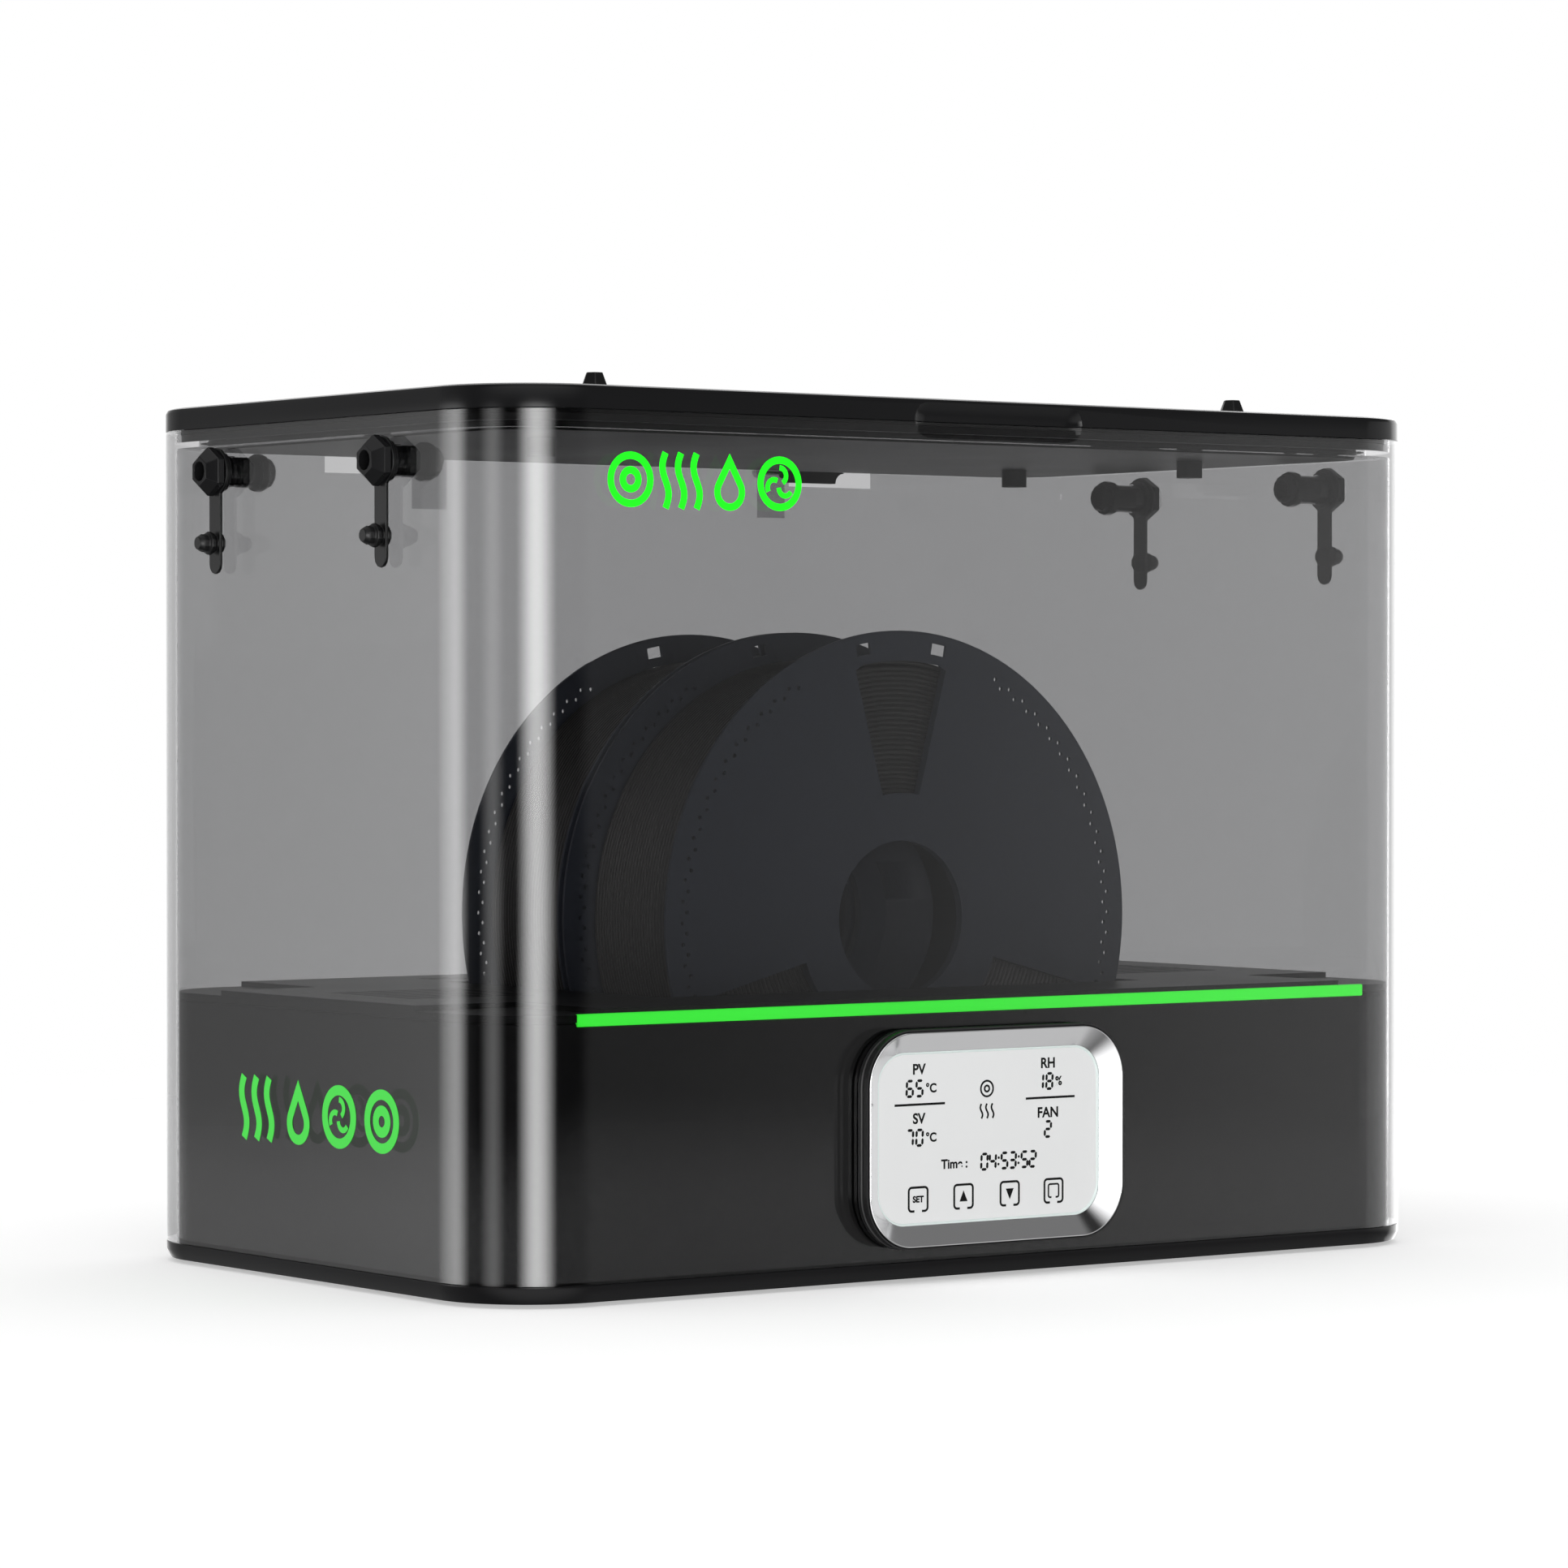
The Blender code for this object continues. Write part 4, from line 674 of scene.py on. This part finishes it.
def waves(x, y, tall, apart, count, width):
    """Rising heat: upright wavy lines side by side."""
    lines = []
    for i in range(count):
        middle = x + (i - (count - 1) / 2) * apart
        points = [
            (middle + apart * 0.2 * sin(2 * pi * k / 16), y + tall * (k / 16 - 0.5)) for k in range(17)
        ]
        lines += stroke(points, width)
    return lines


def drop(x, y, tall, width):
    """A water drop in outline: a round belly and a tip, with the same drop scaled down inside."""
    radius, tip, low = tall * 0.33, tall * 0.67, y - tall * 0.17
    outlines = []
    for scale in (1, 1 - width / radius):
        opening = degrees(acos(radius / tip))
        belly = arc((x, low), radius * scale, 90 + opening, 360 - 2 * opening)
        outlines.append([(x, low + tip * scale)] + belly)
    return outlines


def spool_sign(x, y, radius, width):
    """A spool seen from its side: rim and hub."""
    return circle_line((x, y), radius - width / 2, width) + circle_line((x, y), radius * 0.34, width)


def fan_sign(x, y, radius, width):
    """A fan: a ring round three curved blades."""
    outlines = circle_line((x, y), radius - width / 2, width)
    inside = radius - width
    bow = inside * 0.4
    for turn in (90, 210, 330):
        middle = (x + bow * cos(radians(turn)), y + bow * sin(radians(turn)))
        outlines += stroke(arc(middle, bow, turn - 150, 150, 10), inside * 0.26)
    return outlines


def key_frame(x, y, half, width):
    """A touch key's rounded frame, open in the middle of its lower edge."""
    curl = half * 0.3
    points = [(x - half * 0.4, y - half)]
    for u, v, start in ((-1, -1, 270), (-1, 1, 180), (1, 1, 90), (1, -1, 0)):
        middle = (x + u * (half - curl), y + v * (half - curl))
        points += arc(middle, curl, start, -90, 5)
    return stroke(points + [(x + half * 0.4, y - half)], width)


FRONTAL = Matrix(((1, 0, 0, 0), (0, 0, -1, 0), (0, 1, 0, 0), (0, 0, 0, 1)))
PRINT_THICK = 0.00008
LABEL, UNIT, LINE = 0.0049, 0.0042, 0.00078
LEFT_COLUMN, RIGHT_COLUMN, MIDDLE_COLUMN = -0.0349, 0.0209, -0.0057
screen_words = [
    ("PV", LABEL, LEFT_COLUMN, 0.0715), ("SV", LABEL, LEFT_COLUMN, 0.0549),
    ("RH", LABEL, RIGHT_COLUMN, 0.0716), ("FAN", LABEL, RIGHT_COLUMN, 0.0547),
    ("\u00b0C", UNIT, LEFT_COLUMN + 0.0052, 0.0650), ("\u00b0C", UNIT, LEFT_COLUMN + 0.0052, 0.0484),
    ("%", UNIT, RIGHT_COLUMN + 0.0047, 0.0653), ("Time :", LABEL * 0.9, -0.0197, 0.0390),
    ("SET", LABEL * 0.6, -0.0352, 0.0278),
]
screen_lines = figures("65", LEFT_COLUMN - 0.0018, 0.0652) + figures("70", LEFT_COLUMN - 0.0018, 0.0486)
screen_lines += figures("18", RIGHT_COLUMN - 0.0014, 0.0655) + figures("2", RIGHT_COLUMN, 0.0491)
screen_lines += figures("04:53:52", 0.0037, 0.0392, 0.0036)
screen_lines += stroke([(-0.0452, 0.0598), (-0.0238, 0.0598)], LINE)
screen_lines += stroke([(0.0112, 0.0599), (0.0327, 0.0599)], LINE)
screen_lines += spool_sign(MIDDLE_COLUMN, 0.0640, 0.0030, 0.0007)
screen_lines += waves(MIDDLE_COLUMN, 0.0564, 0.0050, 0.0024, 3, 0.0007)
KEY_HALF, KEY_Z, KEY_MARK = 0.0040, 0.0279, 0.0017
SET_KEY, UP_KEY, DOWN_KEY, POWER_KEY = -0.0352, -0.0158, 0.0042, 0.0234
for key_x in (SET_KEY, UP_KEY, DOWN_KEY, POWER_KEY):
    screen_lines += key_frame(key_x, KEY_Z, KEY_HALF, LINE)
for key_x, up in ((UP_KEY, 1), (DOWN_KEY, -1)):
    foot_z, tip_z = KEY_Z - up * KEY_MARK, KEY_Z + up * 1.2 * KEY_MARK
    screen_lines.append([(key_x - KEY_MARK, foot_z), (key_x + KEY_MARK, foot_z), (key_x, tip_z)])
screen_lines += key_frame(POWER_KEY, KEY_Z, KEY_HALF * 0.56, LINE * 0.8)
on_screen = Matrix.Translation((0, SCREEN_FRONT, 0)) @ FRONTAL
dressed(
    printed("screen_figures", screen_lines, screen_words, on_screen, PRINT_THICK), PRINTED_BLACK, "base",
    "black_plastic",
)

# Roller sets: ground steel axles in the well's bosses with a black plastic roller for each spool.
# The rollers turn with the spool that lies on them.
GROUND_STEEL = moulded("ground_steel", (0.5, 0.5, 0.51), 0.28, grain=400, metallic=1.0)
for side in SIDES:
    axle = "roller_axle_" + side
    dressed(refined(axle), GROUND_STEEL, "base", "axle_steel", axle)
    for way in WAYS:
        roller = f"roller_{way}_{side}"
        dressed(refined(roller), GRAINED_BLACK, roller, "black_plastic", roller)

# Spools: two moulded halves each, a thin windowed flange with two rows of fine holes near its rim and
# half of a tan drum, snapped together round a full winding of black filament.
FLANGE_RIM, RIM_START = 0.0011, 0.0888
HOLE_ROWS, HOLE_RADIUS, HOLES_PER_ROW = (0.0913, 0.0931), 0.0008, 68
HOLE_FREE = radians(29)
HOLE_SWEEP = 2 * pi - 2 * HOLE_FREE
CUT_REACH, CUT_DEEP, CUT_SLOPE, CUT_STEPS = 0.11, 0.006, 0.0015, 144
STRAND_RADIUS, LAYER_RADIUS, LAYER_TURNS = 0.00086, 0.0893, 31
DRUM_RADIUS, DRUM_INSIDE = 0.0415, 0.036
SPOOL_PLASTIC = moulded(
    "spool_plastic", (0.029, 0.033, 0.044), 0.5, grain=420, depth=1.6, bump=0.35, sheen=0.3
)
TAN_DRUM = moulded("tan_drum", (0.17, 0.125, 0.075), 0.55, grain=300)
FILAMENT = moulded("black_filament", (0.026, 0.025, 0.024), 0.36, grain=600)


def new_tree(name, sockets):
    """A Geometry Nodes tree with named inputs and one geometry output."""
    tree = bpy.data.node_groups.new(name, "GeometryNodeTree")
    for socket, kind in sockets:
        tree.interface.new_socket(socket, in_out="INPUT", socket_type="NodeSocket" + kind)
    tree.interface.new_socket("Geometry", in_out="OUTPUT", socket_type="NodeSocketGeometry")
    taken = tree.nodes.new("NodeGroupInput").outputs
    return tree, taken


def added(tree, kind, **inputs):
    """A node with its inputs linked or set; a name's underscores stand for spaces."""
    node = tree.nodes.new("GeometryNode" + kind)
    for name, value in inputs.items():
        socket = node.inputs[name.replace("_", " ")]
        if isinstance(value, bpy.types.NodeSocket):
            tree.links.new(value, socket)
        else:
            socket.default_value = value
    return node


def closing(tree, geometry, material):
    """Realises what the tree made and gives it its material."""
    real = added(tree, "RealizeInstances", Geometry=geometry).outputs[0]
    painted = added(tree, "SetMaterial", Geometry=real, Material=material).outputs[0]
    tree.links.new(painted, tree.nodes.new("NodeGroupOutput").inputs["Geometry"])


def grown(piece, tree, values):
    """Runs a tree on a piece, with its inputs set by their identifiers, and keeps the plain mesh."""
    growth = piece.modifiers.new("growth", "NODES")
    growth.node_group = tree
    for item in tree.interface.items_tree:
        if item.in_out == "INPUT" and item.name in values:
            growth[item.identifier] = values[item.name]
    return plain_mesh(piece)


def perforation_tree():
    """Two staggered rows of round holes, cut through a flange along an arc that leaves its top free."""
    tree, taken = new_tree("perforated_rim", (
        ("Geometry", "Geometry"), ("Middle", "Vector"), ("Inner Row", "Float"), ("Outer Row", "Float"),
        ("Hole Radius", "Float"), ("Holes", "Int"), ("Start", "Float"), ("Sweep", "Float"),
        ("Stagger", "Float"), ("Depth", "Float"), ("Material", "Material"),
    ))
    drill = added(tree, "MeshCylinder", Vertices=8, Radius=taken["Hole Radius"], Depth=taken["Depth"])
    joined = tree.nodes.new("GeometryNodeJoinGeometry")
    late = calculated(tree, "ADD", taken["Start"], taken["Stagger"])
    for row, start in ((taken["Inner Row"], taken["Start"]), (taken["Outer Row"], late)):
        line = added(
            tree, "CurveArc", Resolution=taken["Holes"], Radius=row, Start_Angle=start,
            Sweep_Angle=taken["Sweep"],
        )
        spots = added(tree, "InstanceOnPoints", Points=line.outputs["Curve"], Instance=drill.outputs["Mesh"])
        tree.links.new(spots.outputs[0], joined.inputs[0])
    real = added(tree, "RealizeInstances", Geometry=joined.outputs[0]).outputs[0]
    placed = added(
        tree, "Transform", Geometry=real, Translation=taken["Middle"], Rotation=(pi / 2, 0, 0)
    ).outputs[0]
    drilled = tree.nodes.new("GeometryNodeMeshBoolean")
    drilled.operation = "DIFFERENCE"
    drilled.solver = "EXACT"
    tree.links.new(taken["Geometry"], drilled.inputs[0])
    tree.links.new(placed, drilled.inputs[1])
    closing(tree, drilled.outputs[0], taken["Material"])
    return tree


def winding_tree():
    """The outer layer of filament: one strand in even turns from flange to flange."""
    tree, taken = new_tree("wound_layer", (
        ("Middle", "Vector"), ("Radius", "Float"), ("Turns", "Float"), ("Width", "Float"),
        ("Strand", "Float"), ("Material", "Material"),
    ))
    line = added(
        tree, "CurveSpiral", Resolution=96, Rotations=taken["Turns"], Start_Radius=taken["Radius"],
        End_Radius=taken["Radius"], Height=taken["Width"],
    )
    section = added(tree, "CurvePrimitiveCircle", Resolution=8, Radius=taken["Strand"])
    strand = added(
        tree, "CurveToMesh", Curve=line.outputs[0], Profile_Curve=section.outputs[0], Fill_Caps=True
    )
    placed = added(
        tree, "Transform", Geometry=strand.outputs[0], Translation=taken["Middle"], Rotation=(pi / 2, 0, 0)
    )
    smooth = added(tree, "SetShadeSmooth", Geometry=placed.outputs[0])
    closing(tree, smooth.outputs[0], taken["Material"])
    return tree


def ring_solid(name, profile, middle, steps):
    """A profile of (radius, along) points, closed on itself and turned round a spool's axis."""
    turns = [2 * pi * i / steps for i in range(steps)]
    rings = [
        [middle + Vector((radius * cos(turn), along, radius * sin(turn))) for turn in turns]
        for radius, along in profile
    ]
    return lofted(name, rings, True)


def wound_profile(half):
    """The body of the winding: strand beside strand up both sides, under the outer layer."""
    rows = int((LAYER_RADIUS - STRAND_RADIUS - DRUM_RADIUS) / (2 * STRAND_RADIUS))
    side = []
    for row in range(rows):
        middle = DRUM_RADIUS + (2 * row + 1) * STRAND_RADIUS
        for turn in (-80, -40, 0, 40, 80):
            side.append((
                middle + STRAND_RADIUS * sin(radians(turn)), half - STRAND_RADIUS * (1 - cos(radians(turn)))
            ))
    return side + [(radius, -along) for radius, along in reversed(side)]


def tinted_drum(piece, middle):
    """Gives the drum's round walls their own tan, on a second material."""
    piece.data.materials.append(TAN_DRUM)
    for face in piece.data.polygons:
        offset = face.center - middle
        if DRUM_INSIDE < Vector((offset.x, offset.z)).length < DRUM_RADIUS and abs(face.normal.y) < 0.5:
            face.material_index = 1
    return piece


PERFORATION, WINDING = perforation_tree(), winding_tree()
for way in WAYS:
    body = "spool_" + way
    low, high = (Vector(corner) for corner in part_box(body + "_wound_core"))
    middle = (low + high) / 2
    half = (high.y - low.y) / 2
    for name in (body + "_half_outer", body + "_half_inner"):
        low, high = (Vector(corner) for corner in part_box(name))
        hand = 1 if (low.y + high.y) / 2 > middle.y else -1
        rim = refined(name, arcs=[(1, middle, (), 3)])
        face = high.y if hand > 0 else low.y
        near, far = face - hand * FLANGE_RIM, face - hand * CUT_DEEP
        profile = [(RIM_START, near), (CUT_REACH, near), (CUT_REACH, far), (RIM_START - CUT_SLOPE, far)]
        plane = Vector((middle.x, 0, middle.z))
        cutter = ring_solid(name + "_cutter", profile, plane, CUT_STEPS)
        thinned = rim.modifiers.new("thin_rim", "BOOLEAN")
        thinned.object = cutter
        thinned.operation = "DIFFERENCE"
        rim = plain_mesh(rim)
        bpy.data.objects.remove(cutter, do_unlink=True)
        holes = grown(rim, PERFORATION, {
            "Middle": (middle.x, face - hand * FLANGE_RIM / 2, middle.z), "Inner Row": HOLE_ROWS[0],
            "Outer Row": HOLE_ROWS[1], "Hole Radius": HOLE_RADIUS, "Holes": HOLES_PER_ROW,
            "Start": pi / 2 + HOLE_FREE, "Sweep": HOLE_SWEEP,
            "Stagger": HOLE_SWEEP / (2 * HOLES_PER_ROW - 2), "Depth": 3 * FLANGE_RIM,
            "Material": SPOOL_PLASTIC,
        })
        flange = tinted_drum(softened(holes, 0), middle)
        dressed(flange, None, body, "spool_plastic", name)
    wound = softened(ring_solid(body + "_wound_body", wound_profile(half), middle, 96), 0)
    dressed(wound, FILAMENT, body, "filament", body + "_wound_core")
    span = 2 * (half - STRAND_RADIUS)
    layer = grown(new_piece(body + "_outer_layer", bpy.data.meshes.new(body + "_outer_layer")), WINDING, {
        "Middle": tuple(middle + Vector((0, span / 2, 0))), "Radius": LAYER_RADIUS,
        "Turns": float(LAYER_TURNS), "Width": span, "Strand": STRAND_RADIUS, "Material": FILAMENT,
    })
    dressed(layer, None, body, "filament", body + "_filament")

# Outer sleeve: one extruded and polished clear moulding, smoked grey, with a seat for the lid's seal
# inside its top edge and openings for display, outlets, inlet and hinges. Plain signs in bright green
# are printed on its front and its left side.
SMOKE = (0.52, 0.52, 0.525)
SMOKE_SHADOW = 0.72
EDGE_DEEP = 0.02
SIGN_THICK, SIGN_LIFT = 0.00012, 0.00002


def clear_plastic(name, polish):
    """Smoked plastic that lamps shine through; its polish is what it mirrors of the room."""
    look = bpy.data.materials.new(name)
    look.use_nodes = True
    tree = look.node_tree
    shader = tree.nodes["Principled BSDF"]
    shader.inputs["Base Color"].default_value = (*SMOKE, 1)
    shader.inputs["Roughness"].default_value = 0.0
    shader.inputs["IOR"].default_value = 1.02
    shader.inputs["Transmission Weight"].default_value = 1.0
    shader.inputs["Coat Weight"].default_value = polish
    shader.inputs["Coat Roughness"].default_value = 0.0
    shader.inputs["Coat IOR"].default_value = 1.49
    to_lamps = tree.nodes.new("ShaderNodeBsdfTransparent")
    to_lamps.inputs["Color"].default_value = (SMOKE_SHADOW, SMOKE_SHADOW, SMOKE_SHADOW, 1)
    ray = tree.nodes.new("ShaderNodeLightPath").outputs
    passing = mixed_shader(tree, ray["Is Shadow Ray"], shader.outputs[0], to_lamps.outputs[0])
    tree.links.new(passing, tree.nodes["Material Output"].inputs["Surface"])
    return look


SMOKED_CLEAR, SMOKED_EDGE = clear_plastic("smoked_clear", 1.0), clear_plastic("smoked_edge", 0.0)
sleeve = dressed(
    refined("outer_shell", 0.0004, arcs=BOX_CORNERS), SMOKED_CLEAR, "base", "smoked_clear", "outer_shell"
)
sleeve.data.materials.append(SMOKED_EDGE)
for face in sleeve.data.polygons:
    if face.center.z > sleeve_high.z - EDGE_DEEP and abs(face.normal.z) > 0.25:
        face.material_index = 1

# The green signs are printed ink, not lamps: the glow given to them is painted light.
SIGN_PAINTED_GLOW = lit("green_sign_painted_glow", (0.0, 0.92, 0.0), 0.55, 0.5)
# The left side's signs take a darker copy of that green with a weaker glow: painted shade for the side face,
# over painted glow.
SIGN_PAINTED_SHADE = lit("green_sign_painted_shade", (0.03, 0.55, 0.035), 0.25, 0.5)
SIGN_Z, SIGN_TALL, SIGN_LINE = 0.267, 0.018, 0.0024
front_signs = spool_sign(-0.1525, SIGN_Z, SIGN_TALL / 2, SIGN_LINE)
front_signs += waves(-0.1325, SIGN_Z, SIGN_TALL, 0.0062, 3, SIGN_LINE)
front_signs += drop(-0.1130, SIGN_Z, SIGN_TALL * 1.04, SIGN_LINE)
front_signs += fan_sign(-0.0927, SIGN_Z, SIGN_TALL / 2, SIGN_LINE)
on_front = Matrix.Translation((0, sleeve_low.y - SIGN_LIFT - SIGN_THICK / 2, 0)) @ FRONTAL
dressed(printed("front_signs", front_signs, (), on_front, SIGN_THICK), SIGN_PAINTED_GLOW, "base", "green_light")
SIDE_Z, SIDE_TALL, SIDE_LINE = 0.0572, 0.0212, 0.0034
side_signs = waves(-0.0310, SIDE_Z, SIDE_TALL, 0.0082, 3, SIDE_LINE)
side_signs += drop(-0.0040, SIDE_Z, SIDE_TALL * 1.03, SIDE_LINE)
side_signs += fan_sign(0.0220, SIDE_Z, SIDE_TALL / 2, SIDE_LINE)
side_signs += spool_sign(0.0485, SIDE_Z, SIDE_TALL / 2, SIDE_LINE)
LEFTWARD = Matrix(((0, 0, -1, 0), (-1, 0, 0, 0), (0, 1, 0, 0), (0, 0, 0, 1)))
on_left = Matrix.Translation((sleeve_low.x - SIGN_LIFT - SIGN_THICK / 2, 0, 0)) @ LEFTWARD
dressed(printed("left_signs", side_signs, (), on_left, SIGN_THICK), SIGN_PAINTED_SHADE, "base", "green_light")

# Filament outlets: black hex-nosed sleeves through the side walls, each with a soft strap hung on
# its neck that carries a plug for the bore.
for way in WAYS:
    for side in SIDES:
        outlet, strap = f"outlet_{way}_{side}", f"strap_plug_{way}_{side}"
        dressed(refined(outlet, 0.0002), SATIN_BLACK, "base", "black_plastic", outlet)
        dressed(refined(strap, 0.0003), SOFT_SILICONE, strap, "silicone", strap)

# Lid: a satin black cover with a liner plug screwed into it, a soft seal round the plug, two studs
# on top and two hinge arms that reach down into the sleeve's notches, where clear brackets hold them
# on steel pins.
dressed(refined("lid_cover", 0.0006, 3, arcs=BOX_CORNERS), SATIN_BLACK, "lid", "black_plastic", "lid_cover")
dressed(refined("lid_liner", 0.0004, arcs=BOX_CORNERS), DEEP_BLACK, "lid", "black_plastic", "lid_liner")
dressed(refined("lid_seal", arcs=BOX_CORNERS), SOFT_SILICONE, "lid", "silicone", "lid_seal")
for side in SIDES:
    dressed(refined("lid_stud_" + side, 0.0003), SOFT_SILICONE, "lid", "silicone", "lid_stud_" + side)
    dressed(refined("hinge_arm_" + side), GRAINED_BLACK, "lid", "black_plastic", "hinge_arm_" + side)
    dressed(refined("hinge_bracket_" + side), SMOKED_EDGE, "base", "smoked_clear", "hinge_bracket_" + side)
    dressed(refined("hinge_pin_" + side), GROUND_STEEL, "base", "axle_steel", "hinge_pin_" + side)
